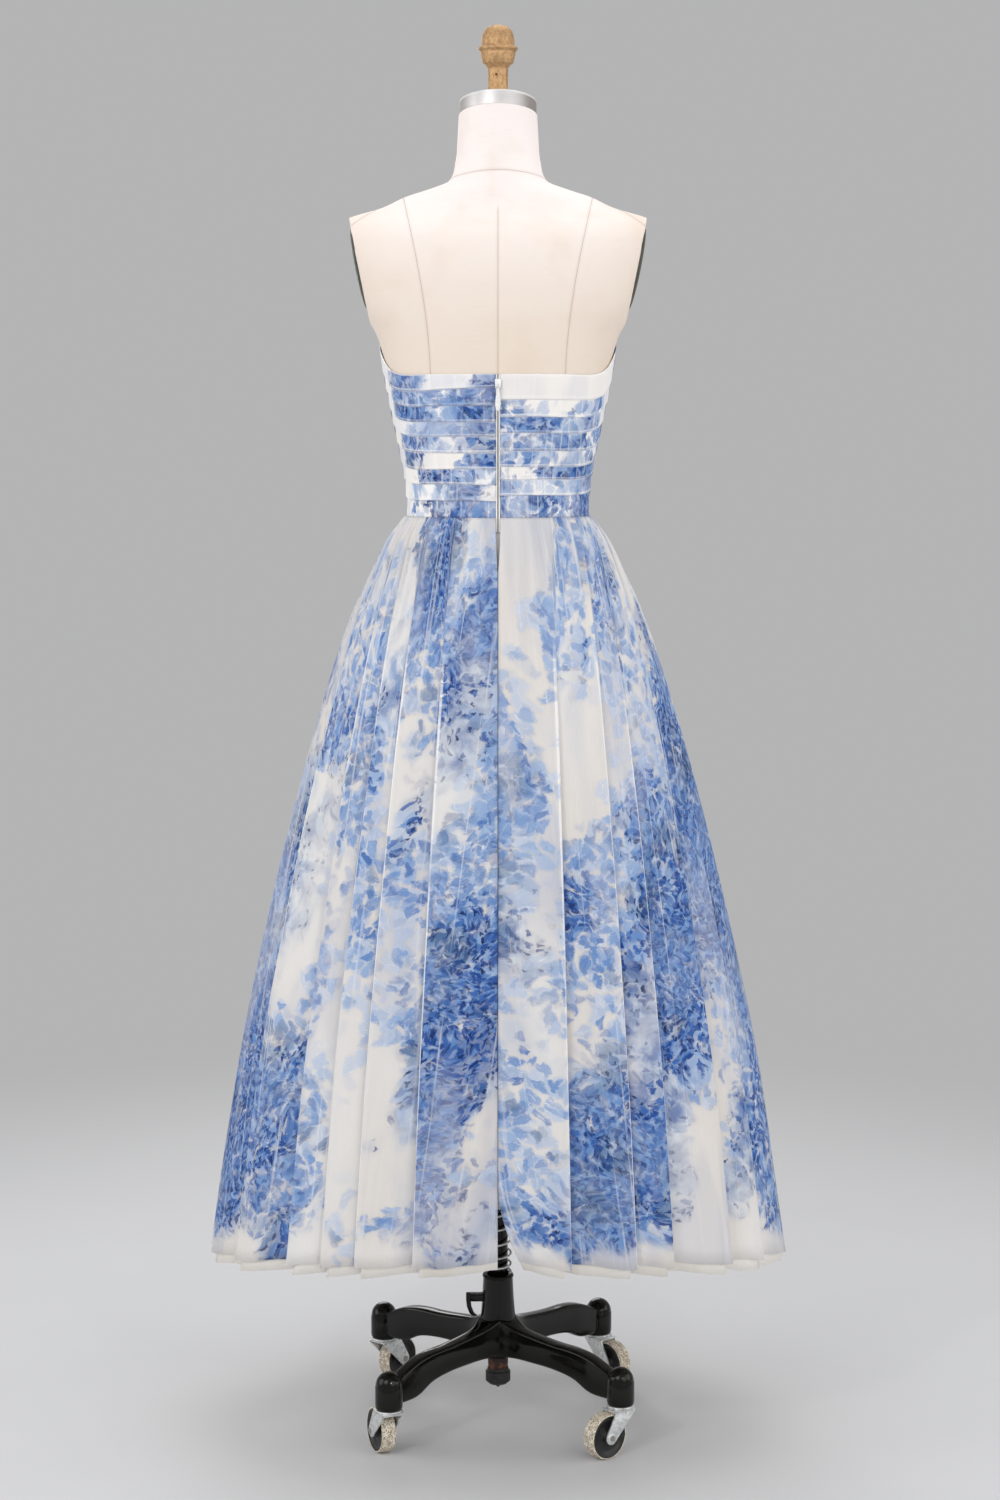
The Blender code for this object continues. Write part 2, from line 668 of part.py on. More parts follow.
def skirt_columns():
    right = panel_columns(RIGHT_FOLDS, False)
    left = panel_columns(LEFT_FOLDS, True)
    start = (RIGHT_FOLDS[-1][0] - RIGHT_FOLDS[-1][2], RIGHT_FOLDS[-1][1])
    end = (360.0 - LEFT_FOLDS[-1][0] + LEFT_FOLDS[-1][2], 360.0 - LEFT_FOLDS[-1][1])
    depth = (RIGHT_FOLDS[-1][3] + LEFT_FOLDS[-1][3]) / 2
    middle = []
    for k in range(FRONT_PANEL_COLUMNS):
        share = k / (FRONT_PANEL_COLUMNS - 1)
        inner = (k + 0.5) / FRONT_PANEL_COLUMNS
        hem = start[0] + (end[0] - start[0]) * share
        waist = start[1] + (end[1] - start[1]) * inner
        lift = -(abs(2.0 * share - 1.0) ** FOLD_BELLY)
        middle.append((hem, waist, lift * depth, 1.0 - 2.0 * share, len(RIGHT_FOLDS)))
    return right + middle + left


def skirt_point(section, column, index, inset=(0.0, 0.0), tuck=0.0, drop=0.0, gathers=True):
    """A point of the skirt. The inset has a value for the waist and one for full folds."""
    z, half_width, half_depth, gather, fold = section
    hem, waist, lift, tuck_side, _ = column
    top_width, hem_width = SKIRT_SECTIONS[0][1], SKIRT_SECTIONS[-1][1]
    share = (1.0 / half_width - 1.0 / hem_width) / (1.0 / top_width - 1.0 / hem_width)
    angle = math.radians(hem + (waist - hem) * share)
    sine, cosine = math.sin(angle), math.cos(angle)
    radial = Vector((sine / half_width, -cosine / half_depth, 0.0)).normalized()
    tangent = Vector((-radial.y, radial.x, 0.0))
    wave = gather * (-1.0) ** index if gathers else -gather
    out = lift * fold + wave - inset[0] - (inset[1] - inset[0]) * fold
    point = Vector((half_width * sine, -half_depth * cosine, 0.0)) + radial * out
    point -= tangent * (tuck * tuck_side * fold)
    hang = ((WAIST_Z - z) / (WAIST_Z - HEM_Z)) ** 2
    crest = 1.0 - min(1.0, abs(lift) / HEM_DROP_DEPTH)
    rise = HEM_BACK_RISE * max(cosine, 0.0) ** 1.5 - HEM_FOLD_DROP * crest - drop
    point.z = z + hang * rise
    return point


def side_seam_indices(columns):
    """Where the back halves meet the front: the middle of the panel that holds the seam."""
    right = [i for i, c in enumerate(columns) if c[4] == SIDE_SEAM_FOLD and c[0] < 180.0]
    left = [i for i, c in enumerate(columns) if c[4] == SIDE_SEAM_FOLD and c[0] > 180.0]
    return right[2], left[-3]


def curl_slit(point, column):
    """Draws the right half's lower back corner aside, so that the seam opens at the hem."""
    if column[0] > RIGHT_FOLDS[0][0]:
        return
    top = HEM_Z + HEM_BACK_RISE + SLIT_HEIGHT
    depth = min(1.2, max(0.0, (top - point.z) / SLIT_HEIGHT))
    near = 1.0 - column[0] / RIGHT_FOLDS[0][0]
    point.x += SLIT_WIDTH * depth**1.6 * near


def part_seam(rows, edge, neighbour):
    """Draws an upright edge in by half a seam gap, along the cloth."""
    for row in rows:
        row[edge] = row[edge] + (row[neighbour] - row[edge]).normalized() * (SEAM_GAP / 2)


def back_gap(z):
    """Half the gap at the centre back: as wide as the zip above its foot, a seam below."""
    high, low = SKIRT_SECTIONS[1][0], SKIRT_SECTIONS[2][0]
    share = min(1.0, max(0.0, (z - low) / (high - low)))
    return SEAM_GAP + share * ZIP_HALF_WIDTH


def open_back(rows, edge, side):
    for row in rows:
        point = row[edge]
        gap = back_gap(point.z)
        if side * point.x < gap:
            row[edge] = Vector((side * gap, point.y, point.z))


def make_skirt(name, finish_name, wall, section_numbers, **shape):
    columns = skirt_columns()
    outside = []
    for number in section_numbers:
        row = [skirt_point(SKIRT_SECTIONS[number], c, i, **shape) for i, c in enumerate(columns)]
        for point, column in zip(row, columns):
            curl_slit(point, column)
        outside.append(row)
    inside = inner_rows(outside, wall)
    right, left = side_seam_indices(columns)
    pieces = (
        (name + "_back_right", 0, right + 1, 1.0),
        (name + "_front", right, left + 1, 0.0),
        (name + "_back_left", left, len(columns), -1.0),
    )
    for piece, first, last, side in pieces:
        surfaces = []
        for rows in (outside, inside):
            cut = [[point.copy() for point in row[first:last]] for row in rows]
            if side >= 0.0:
                part_seam(cut, -1, -2)
            if side <= 0.0:
                part_seam(cut, 0, 1)
            if side > 0.0:
                open_back(cut, 0, side)
            if side < 0.0:
                open_back(cut, -1, side)
            surfaces.append(cut)
        shell(piece, *surfaces, finish_name)


def make_lining():
    angles = [360.0 * i / LINING_COLUMNS for i in range(LINING_COLUMNS)]
    columns = [(degrees, degrees, 0.0, 0.0, 0) for degrees in angles]
    rows = []
    for number, inset, wave in LINING_LEVELS:
        section = SKIRT_SECTIONS[number]
        row = []
        for i, column in enumerate(columns):
            ripple = inset + wave * math.cos(math.radians(column[0]) * LINING_WAVES)
            row.append(skirt_point(section, column, i, inset=(ripple, ripple), gathers=False))
        rows.append(row)
    # The last level is the tulle's hem line: the lining ends part of the way down to it
    for i, point in enumerate(rows[-1]):
        above = rows[-2][i]
        share = 1.0 - LINING_LIFT / (above.z - point.z)
        rows[-1][i] = above + (point - above) * share
    shell("lining", rows, inner_rows(rows, LINING_WALL, True), "lining_cloth", closed=True)


# -------------------------------------------------------------------------- the bodice


def top_edge(degrees):
    """Height of the bodice's top edge: flat at the back, rising at the sides."""
    turn = abs(((degrees + 180.0) % 360.0) - 180.0)
    for (low, z_low), (high, z_high) in zip(TOP_EDGE_KEYS, TOP_EDGE_KEYS[1:]):
        if turn <= high:
            share = (turn - low) / (high - low)
            smooth = share * share * (3.0 - 2.0 * share)
            return z_low + (z_high - z_low) * smooth
    return TOP_EDGE_KEYS[-1][1]


def bodice_column(degrees, pleats, slant):
    """Outer and inner points of one upright strip, from the top edge to the waist."""
    top = top_edge(degrees)
    bottom = WAIST_Z + SEAM_GAP
    height = top - bottom
    outer = [(top, BODICE_PLAIN)]
    for number, share in enumerate(pleats):
        tilt = slant if number == 0 else 0.0
        edge = top - height * share + tilt
        outer.append((edge, BODICE_PLEAT))
        outer.append((edge - PLEAT_STEP, BODICE_PLAIN))
    outer.append((bottom, BODICE_PLEAT))
    plain = [section[0] for section in FORM_SECTIONS if bottom < section[0] < BODICE_PLAIN_TOP]
    inner = [top, plain[-1] + (top - plain[-1]) * BODICE_INNER_SHARE, *reversed(plain), bottom]
    outside = [form_point(z, degrees, out) for z, out in outer]
    inside = [form_point(z, degrees, BODICE_EASE) for z in inner]
    return outside, inside


def trim_side_seam(bm, side, keep_back):
    """Cuts a bodice piece flat at a side seam, half a gap off the seam's upright plane."""
    angle = math.radians(SIDE_SEAM_DEG)
    towards_front = Vector((side * math.cos(angle), math.sin(angle), 0.0))
    normal = towards_front if keep_back else -towards_front
    trim(bm, -normal * (SEAM_GAP / 2), normal, side)


def make_bodice_piece(name, start, end, count, pleats, slant, seams, half_gap=0.0):
    outside, inside = [], []
    for i in range(count):
        degrees = start + (end - start) * i / (count - 1)
        tilt = slant * (1.0 - i / (count - 1)) if start < 180.0 else slant * i / (count - 1)
        outer, inner = bodice_column(degrees, pleats, tilt)
        if half_gap and i == (0 if start < 180.0 else count - 1):
            for point in outer + inner:
                point.x = half_gap if start < 180.0 else -half_gap
        outside.append(outer)
        inside.append(inner)
    outside = [list(row) for row in zip(*outside)]
    inside = [list(row) for row in zip(*inside)]
    bm = bmesh.new()
    outer = [[bm.verts.new(p) for p in row] for row in outside]
    inner = [[bm.verts.new(p) for p in row] for row in inside]
    add_grid_faces(bm, outer)
    add_grid_faces(bm, inner, inwards=True)
    for i in range(count - 1):
        bm.faces.new((outer[0][i], outer[0][i + 1], inner[0][i + 1], inner[0][i]))
        bm.faces.new((inner[-1][i], inner[-1][i + 1], outer[-1][i + 1], outer[-1][i]))
    for column, flip in ((0, False), (-1, True)):
        loop = [row[column] for row in outer] + [row[column] for row in reversed(inner)]
        bm.faces.new(reversed(loop) if flip else loop)
    bm.normal_update()
    bmesh.ops.triangulate(bm, faces=[f for f in bm.faces if len(f.verts) > 4])
    bmesh.ops.recalc_face_normals(bm, faces=bm.faces)
    for side in seams:
        trim_side_seam(bm, side, keep_back=half_gap > 0.0)
    add_mesh(name, bm, "printed_tulle")


def make_bodice():
    edge = ZIP_HALF_WIDTH + SEAM_GAP
    quarter = FORM_COLUMNS // 4
    low = 90.0 - 360.0 / FORM_COLUMNS
    front = 2 * quarter + 3
    make_bodice_piece("bodice_back_right", 0.0, 90.0, quarter + 1, RIGHT_PLEATS, 0.0, (1.0,), edge)
    make_bodice_piece("bodice_front", low, 360.0 - low, front, FRONT_PLEATS, 0.0, (1.0, -1.0))
    left = (270.0, 360.0, quarter + 1, LEFT_PLEATS, PLEAT_SLANT)
    make_bodice_piece("bodice_back_left", *left, (-1.0,), edge)


# ----------------------------------------------------------------------------- the zip


def back_line(z, outwards):
    """Distance behind the axis of a point outside the form's centre back."""
    return form_point(z, 0.0, outwards).y


def make_zip():
    waist_y = back_line(WAIST_Z, ZIP_WAIST_OUT)
    foot_y = waist_y - (WAIST_Z - ZIP_BOTTOM_Z) * ZIP_FOOT_SLOPE
    sections = [section[0] for section in reversed(FORM_SECTIONS)]
    line = [(BACK_TOP_Z - ZIP_TOP_DROP, back_line(BACK_TOP_Z, ZIP_OUT))]
    line += [(z, back_line(z, ZIP_OUT)) for z in sections if WAIST_Z < z < BACK_TOP_Z]
    line += [(WAIST_Z + SEAM_GAP, waist_y), (ZIP_BOTTOM_Z, foot_y)]
    bm = bmesh.new()
    loops = []
    for z, inner in line:
        outer = inner - ZIP_THICKNESS
        corners = ((-1, outer), (1, outer), (1, inner), (-1, inner))
        loops.append([bm.verts.new((s * ZIP_HALF_WIDTH, y, z)) for s, y in corners])
    for upper, lower in zip(loops, loops[1:]):
        for i in range(4):
            k = (i + 1) % 4
            bm.faces.new((lower[i], lower[k], upper[k], upper[i]))
    bm.faces.new(loops[0])
    bm.faces.new(reversed(loops[-1]))
    bmesh.ops.recalc_face_normals(bm, faces=bm.faces)
    add_mesh("zip_coil", bm, "zip_white")

    # The slider rides proud of the pleats, with a neck down to the coil and two ears
    face = back_line(SLIDER_Z + SLIDER_HEIGHT / 2, BODICE_PLEAT) - SEAM_GAP
    coil = back_line(SLIDER_Z + SLIDER_HEIGHT / 2, ZIP_OUT) - ZIP_THICKNESS - SEAM_GAP
    middle = face - SLIDER_THICKNESS / 2
    plate = box((SLIDER_WIDTH, SLIDER_THICKNESS, SLIDER_HEIGHT), (0.0, middle, SLIDER_Z))
    slider = add_mesh("zip_slider", plate, "zip_white")
    bevel = slider.modifiers.new("round", "BEVEL")
    bevel.width = SLIDER_BEVEL
    bevel.segments = 1
    neck_size = (SLIDER_NECK_WIDTH, coil - face + UNION_DEPTH, SLIDER_HEIGHT * 0.8)
    neck = box(neck_size, (0.0, face + neck_size[1] / 2 - UNION_DEPTH, SLIDER_Z))
    boolean(slider, add_cutter("slider_neck", neck), "UNION")
    pin_y = face - SLIDER_THICKNESS - PIN_OUT
    pin_z = SLIDER_Z - SLIDER_HEIGHT / 2 + PIN_UP
    for name, side in (("slider_ear_right", 1.0), ("slider_ear_left", -1.0)):
        ear = box(SLIDER_EAR, (side * SLIDER_EAR_SIDE, pin_y + SLIDER_EAR[0], pin_z))
        boolean(slider, add_cutter(name, ear), "UNION")
    pin = cylinder(PULL_PIN_RADIUS, PIN_LENGTH, 8, (0.0, pin_y, pin_z), "X")
    boolean(slider, add_cutter("slider_pin", pin), "UNION")

    # The pull: a drop-shaped tab with a knuckle round the pin
    right = [(PULL_WIDTH * width, -PULL_LENGTH * length) for width, length in PULL_EDGE]
    left = [(-x, z) for x, z in reversed(right)]
    outline = right + [(0.0, -PULL_LENGTH)] + left
    place = (0.0, pin_y, pin_z)
    pull = add_mesh("zip_pull", extruded(outline, PULL_THICKNESS / 2), "zip_white", place)
    knuckle = cylinder(PULL_KNUCKLE_RADIUS, PULL_KNUCKLE_LENGTH, 12, axis="X")
    boolean(pull, add_cutter("pull_knuckle", knuckle, place), "UNION")
    eye = cylinder(PULL_PIN_RADIUS + SEAM_GAP, 2 * PULL_KNUCKLE_LENGTH, 12, axis="X")
    boolean(pull, add_cutter("pull_eye", eye, place), "DIFFERENCE")


# --------------------------------------------------------------------- post and base


def make_post(top_z):
    foot_z = POST_BOTTOM_Z
    tube = [(0.0, top_z), (POST_RADIUS, top_z), (POST_RADIUS, foot_z), (0.0, foot_z)]
    turned("post", tube, 16, "black_enamel")
    bore = POST_RADIUS + SEAM_GAP
    low, high = COLLAR_Z, COLLAR_Z + COLLAR_HEIGHT
    ring = [
        (bore, high),
        (COLLAR_RADIUS - COLLAR_BEVEL, high),
        (COLLAR_RADIUS, high - COLLAR_BEVEL),
        (COLLAR_RADIUS, low),
        (bore, low),
    ]
    turned("post_collar", ring, 16, "black_enamel")


def make_spring():
    curve = bpy.data.curves.new("spring", "CURVE")
    curve.dimensions = "3D"
    curve.bevel_depth = SPRING_WIRE
    curve.bevel_resolution = 0
    curve.use_fill_caps = True
    spline = curve.splines.new("POLY")
    count = SPRING_TURNS * SPRING_STEPS + 1
    low = HUB_TOP_Z + SPRING_WIRE + SEAM_GAP
    high = COLLAR_Z - SPRING_WIRE - SEAM_GAP
    spline.points.add(count - 1)
    for i in range(count):
        share = i / (count - 1)
        closing = math.sin(2.0 * math.pi * share) / (2.0 * math.pi)
        z = low + (high - low) * (share - closing * SPRING_END_CLOSING)
        angle = 2.0 * math.pi * i / SPRING_STEPS + SPRING_START
        x = SPRING_RADIUS * math.cos(angle)
        y = SPRING_RADIUS * math.sin(angle)
        spline.points[i].co = (x, y, z, 1.0)
    wire = bpy.data.objects.new("spring_wire", curve)
    parts.objects.link(wire)
    evaluated = wire.evaluated_get(bpy.context.evaluated_depsgraph_get())
    mesh = bpy.data.meshes.new_from_object(evaluated)
    bm = bmesh.new()
    bm.from_mesh(mesh)
    bmesh.ops.remove_doubles(bm, verts=bm.verts, dist=WELD_DISTANCE)
    bpy.data.objects.remove(wire, do_unlink=True)
    bpy.data.meshes.remove(mesh)
    add_mesh("post_spring", bm, "zinc")


def arm_mesh(degrees):
    """One cast arm, swept outwards from the hub to its castor socket."""
    bm = bmesh.new()
    loops = []
    for reach, top, bottom, half in ARM_SECTIONS:
        ease = ARM_TOP_BEVEL
        ring = (
            (-half, bottom),
            (half, bottom),
            (half, top - ease),
            (half - ease, top),
            (-half + ease, top),
            (-half, top - ease),
        )
        loops.append([bm.verts.new((reach, y, z)) for y, z in ring])
    for a, b in zip(loops, loops[1:]):
        for i in range(6):
            k = (i + 1) % 6
            bm.faces.new((a[i], b[i], b[k], a[k]))
    bm.faces.new(loops[0])
    bm.faces.new(reversed(loops[-1]))
    bmesh.ops.recalc_face_normals(bm, faces=bm.faces)
    turn = Matrix.Rotation(math.radians(degrees), 3, "Z")
    bmesh.ops.rotate(bm, cent=(0, 0, 0), matrix=turn, verts=bm.verts)
    return bm


def castor_place(arm_degrees):
    angle = math.radians(arm_degrees + ARM_TURN_DEG)
    return Vector((ARM_REACH * math.cos(angle), ARM_REACH * math.sin(angle), 0.0))


def make_base():
    bore = POST_RADIUS + SEAM_GAP
    profile = [
        (0.0, POST_BOTTOM_Z - SEAM_GAP),
        (bore, POST_BOTTOM_Z - SEAM_GAP),
        (bore, HUB_TOP_Z),
        (HUB_TOP_RADIUS - HUB_TOP_BEVEL[0], HUB_TOP_Z),
        (HUB_TOP_RADIUS, HUB_TOP_Z - HUB_TOP_BEVEL[1]),
        *HUB_PROFILE,
    ]
    base = turned("base", profile, 16, "black_enamel")
    stem_top = SOCKET_BOTTOM_Z + STEM_LENGTH
    stem_bore = STEM_RADIUS + SEAM_GAP
    dome = SOCKET_DOME_RADIUS
    for name, arm, _ in CASTORS:
        boolean(base, add_cutter("base_arm_" + name, arm_mesh(arm + ARM_TURN_DEG)), "UNION")
        socket = [
            (0.0, SOCKET_TOP_Z),
            (dome * 0.70, SOCKET_TOP_Z - 0.0040),
            (dome, SOCKET_TOP_Z - 0.0150),
            (dome, SOCKET_BOTTOM_Z + 0.0050),
            (dome - 0.0030, SOCKET_BOTTOM_Z),
            (stem_bore, SOCKET_BOTTOM_Z),
            (stem_bore, stem_top),
            (0.0, stem_top),
        ]
        place = castor_place(arm)
        holder = turned("base_socket_" + name, socket, 12, "black_enamel", place, cutters)
        holder.hide_render = True
        holder.display_type = "WIRE"
        boolean(base, holder, "UNION")
    block = box(LEVER_BLOCK_SIZE, LEVER_BLOCK_CENTRE)
    boolean(base, add_cutter("lever_block", block), "UNION")

    turned("sleeve_foot", FOOT_PROFILE, 12, "black_rubber")


def make_lever():
    """The height catch's curved arm, hung from the block on the hub's side."""
    bm = bmesh.new()
    half, side = LEVER_HALF_THICKNESS, LEVER_HALF_WIDTH
    loops = []
    for x, z in LEVER_PATH:
        ring = ((x - half, -side), (x + half, -side), (x + half, side), (x - half, side))
        loops.append([bm.verts.new((a, b, z)) for a, b in ring])
    for upper, lower in zip(loops, loops[1:]):
        for i in range(4):
            k = (i + 1) % 4
            bm.faces.new((lower[i], lower[k], upper[k], upper[i]))
    bm.faces.new(loops[0])
    bm.faces.new(reversed(loops[-1]))
    bmesh.ops.recalc_face_normals(bm, faces=bm.faces)
    add_mesh("height_lever", bm, "black_enamel")


# ----------------------------------------------------------------------- the castors


def fork_mesh():
    """A pressed fork with its race plate, stem and axle, trailing towards +X."""
    top = SOCKET_BOTTOM_Z - SEAM_GAP
    crown_top = RACE_BOTTOM_Z + FORK_CROWN[0]
    crown_bottom = RACE_BOTTOM_Z - FORK_CROWN[1]
    cheek = crown_bottom - FORK_CHEEK_DROP
    outline = [(FORK_NOSE_X, crown_top), (FORK_NOSE_X, cheek)]
    for i in range(FORK_BOSS_STEPS + 1):
        angle = math.radians(FORK_BOSS_ARC[0] + FORK_BOSS_ARC[1] * i / FORK_BOSS_STEPS)
        x = CASTOR_TRAIL + AXLE_BOSS_RADIUS * math.cos(angle)
        outline.append((x, WHEEL_RADIUS + AXLE_BOSS_RADIUS * math.sin(angle)))
    outline += [(FORK_BACK_X, cheek), (FORK_BACK_X, crown_top)]
    body = extruded(outline, FORK_INNER + FORK_PLATE)
    fork = add_mesh("fork_master", body, "zinc", collection=cutters)
    reach = 0.1
    slot = box((reach, 2 * FORK_INNER, reach), (0.0, 0.0, crown_bottom - reach / 2))
    boolean(fork, add_cutter("fork_slot", slot), "DIFFERENCE")
    race = [
        (0.0, SOCKET_BOTTOM_Z + STEM_LENGTH - SEAM_GAP),
        (STEM_RADIUS, SOCKET_BOTTOM_Z + STEM_LENGTH - SEAM_GAP),
        (STEM_RADIUS, top),
        (RACE_RADIUS - RACE_BEVEL, top),
        (RACE_RADIUS, top - RACE_BEVEL),
        (RACE_RADIUS, RACE_BOTTOM_Z),
        (0.0, RACE_BOTTOM_Z),
    ]
    stem = turned("fork_race", race, 12, "zinc", collection=cutters)
    stem.hide_render = True
    stem.display_type = "WIRE"
    boolean(fork, stem, "UNION")
    axle = cylinder(AXLE_RADIUS, 2 * AXLE_HEAD_END, 8, (CASTOR_TRAIL, 0.0, WHEEL_RADIUS), "Y")
    boolean(fork, add_cutter("fork_axle", axle), "UNION")
    return fork


def make_castors():
    fork = fork_mesh()
    bpy.context.view_layer.update()
    evaluated = fork.evaluated_get(bpy.context.evaluated_depsgraph_get())
    fork_shape = bpy.data.meshes.new_from_object(evaluated)
    bpy.data.objects.remove(fork, do_unlink=True)
    bm = bmesh.new()
    bm.from_mesh(fork_shape)
    bmesh.ops.remove_doubles(bm, verts=bm.verts, dist=MERGE_DISTANCE)
    bmesh.ops.triangulate(bm, faces=bm.faces)
    bm.to_mesh(fork_shape)
    bm.free()
    facet = WHEEL_RADIUS / math.cos(math.pi / WHEEL_STEPS)
    half = WHEEL_HALF_WIDTH
    bore = AXLE_RADIUS + SEAM_GAP
    near, far = WHEEL_DISC_RADII
    one_side = [
        (bore, half),
        (WHEEL_HUB_RADIUS, half),
        (near, half - WHEEL_DISH),
        (far, half - WHEEL_DISH),
        (facet, half - WHEEL_SHOULDER),
    ]
    profile = one_side + [(radius, -height) for radius, height in reversed(one_side)]
    for name, arm, heading in CASTORS:
        turn = Matrix.Rotation(math.radians(heading), 4, "Z")
        place = castor_place(arm)
        piece = bpy.data.objects.new("castor_fork_" + name, fork_shape.copy())
        parts.objects.link(piece)
        piece.matrix_world = Matrix.Translation(place) @ turn
        wheel = turned("castor_wheel_" + name, profile, WHEEL_STEPS, "wheel")
        centre = place + turn @ Vector((CASTOR_TRAIL, 0.0, WHEEL_RADIUS))
        wheel.matrix_world = Matrix.Translation(centre) @ turn @ Matrix.Rotation(math.pi / 2, 4, "X")


# ------------------------------------------------------------------------------ build

clear_scene()
parts = new_collection("strapless_dress_on_form")
cutters = new_collection("cutters")

make_torso()
make_neck()
make_arm_plates()
post_top = make_form_foot()
make_skirt("skirt", "printed_tulle", TULLE_WALL, range(len(SKIRT_SECTIONS)))
make_skirt(
    "underskirt",
    "underskirt_cloth",
    UNDERSKIRT_WALL,
    UNDERSKIRT_SECTIONS,
    inset=(UNDERSKIRT_WAIST_INSET, UNDERSKIRT_INSET),
    tuck=UNDERSKIRT_TUCK,
    drop=UNDERSKIRT_DROP,
    gathers=False,
)
make_lining()
make_bodice()
make_zip()
make_post(post_top)
make_spring()
make_base()
make_lever()
make_castors()
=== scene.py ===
import math

import bmesh
import bpy
from mathutils import Matrix, Vector, noise


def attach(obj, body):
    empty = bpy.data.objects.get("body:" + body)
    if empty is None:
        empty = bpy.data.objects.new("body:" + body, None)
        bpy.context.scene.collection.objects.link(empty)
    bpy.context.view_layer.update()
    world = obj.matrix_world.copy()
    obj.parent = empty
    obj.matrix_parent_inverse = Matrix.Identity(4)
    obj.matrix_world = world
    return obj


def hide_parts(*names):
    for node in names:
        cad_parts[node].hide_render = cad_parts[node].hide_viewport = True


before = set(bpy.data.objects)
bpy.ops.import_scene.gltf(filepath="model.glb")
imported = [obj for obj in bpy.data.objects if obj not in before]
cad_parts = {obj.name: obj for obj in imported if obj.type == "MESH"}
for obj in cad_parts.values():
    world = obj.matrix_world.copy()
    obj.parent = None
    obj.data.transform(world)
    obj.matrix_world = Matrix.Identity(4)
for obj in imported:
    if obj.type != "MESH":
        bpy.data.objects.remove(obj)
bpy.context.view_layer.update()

seamGap = 0.0003  # between neighbouring pieces

# Everything is in metres. The back of the dress faces -Y, which is where the camera stands.
# Turn angles start at the centre back and grow towards +X.


# Shader maths: a wire is a socket that can be used in sums

class Wire:
    def __init__(self, paint, socket):
        self.paint, self.socket = paint, socket

    def __add__(self, other):
        return self.paint.maths("ADD", self, other)

    def __radd__(self, other):
        return self.paint.maths("ADD", other, self)

    def __sub__(self, other):
        return self.paint.maths("SUBTRACT", self, other)

    def __rsub__(self, other):
        return self.paint.maths("SUBTRACT", other, self)

    def __mul__(self, other):
        return self.paint.maths("MULTIPLY", self, other)

    def __rmul__(self, other):
        return self.paint.maths("MULTIPLY", other, self)

    def __truediv__(self, other):
        return self.paint.maths("DIVIDE", self, other)


class Paint:
    def __init__(self, name):
        self.material = bpy.data.materials.new(name)
        self.material.use_nodes = True
        self.tree = self.material.node_tree
        self.shader = self.tree.nodes["Principled BSDF"]

    def node(self, kind, settings=None, inputs=None, output=0):
        made = self.tree.nodes.new("ShaderNode" + kind)
        for key, value in (settings or {}).items():
            setattr(made, key, value)
        for key, value in (inputs or {}).items():
            self.link(value, made.inputs[key])
        return Wire(self, made.outputs[output])

    def also(self, wire, output):  # another output of the same node
        return Wire(self, wire.socket.node.outputs[output])

    def link(self, value, socket):
        if isinstance(value, Wire):
            self.tree.links.new(value.socket, socket)
        else:
            socket.default_value = (*value, 1) if socket.type == "RGBA" else value

    def maths(self, operation, *values):
        return self.node("Math", {"operation": operation}, dict(enumerate(values)))

    def size(self, value):  # without its sign
        return self.maths("ABSOLUTE", value)

    def vector(self, operation, *values, output=0):
        return self.node("VectorMath", {"operation": operation}, dict(enumerate(values)), output)

    def parts(self, vector):
        return [self.node("SeparateXYZ", None, {0: vector}, k) for k in range(3)]

    def rise(self, value, low, high):  # 0 at low, 1 at high, smooth between
        words = {"interpolation_type": "SMOOTHSTEP", "clamp": True}
        return self.node("MapRange", words, {0: value, 1: low, 2: high, 3: 0, 4: 1})

    def mix(self, share, first, second, blend="MIX"):
        words = {"data_type": "RGBA", "blend_type": blend}
        return self.node("Mix", words, {0: share, 6: first, 7: second}, 2)

    def coats(self, colour, *layers):  # each layer: where it shows, from, to, how strongly, its colour
        for mask, low, high, share, other in layers:
            colour = self.mix(self.rise(mask, low, high) * share, colour, other)
        return colour

    def noise(self, vector, scale, detail=2, roughness=0.5, output=0):
        values = {"Vector": vector, "Scale": scale, "Detail": detail, "Roughness": roughness}
        return self.node("TexNoise", {"noise_dimensions": "3D"}, values, output)

    def stretched(self, vector, scales, detail=2, roughness=0.5):  # noise, scaled along each axis
        return self.noise(self.vector("MULTIPLY", vector, scales), 1, detail, roughness)

    def bands(self, vector, way, scale, distortion=0):
        words = {"wave_type": "BANDS", "bands_direction": way}
        return self.node("TexWave", words, {"Vector": vector, "Scale": scale, "Distortion": distortion})

    def attribute(self, name):
        return self.node("Attribute", {"attribute_name": name}, None, 2)

    def bump(self, height, depth, strength):
        return self.node("Bump", None, {"Height": height, "Distance": depth, "Strength": strength})

    def set(self, **sockets):
        for name, value in sockets.items():
            self.link(value, self.shader.inputs[socketNames[name]])
        return self.material


socketNames = {
    "colour": "Base Color", "roughness": "Roughness", "metallic": "Metallic", "alpha": "Alpha",
    "normal": "Normal", "coat": "Coat Weight", "coatRoughness": "Coat Roughness",
    "sheen": "Sheen Weight", "sheenRoughness": "Sheen Roughness", "specular": "Specular IOR Level",
}


def tone(*screen):  # screen values 0-255 to the shader's own
    return tuple(c / 255 / 12.92 if c < 11 else ((c / 255 + 0.055) / 1.055) ** 2.4 for c in screen)


# Printed cloth

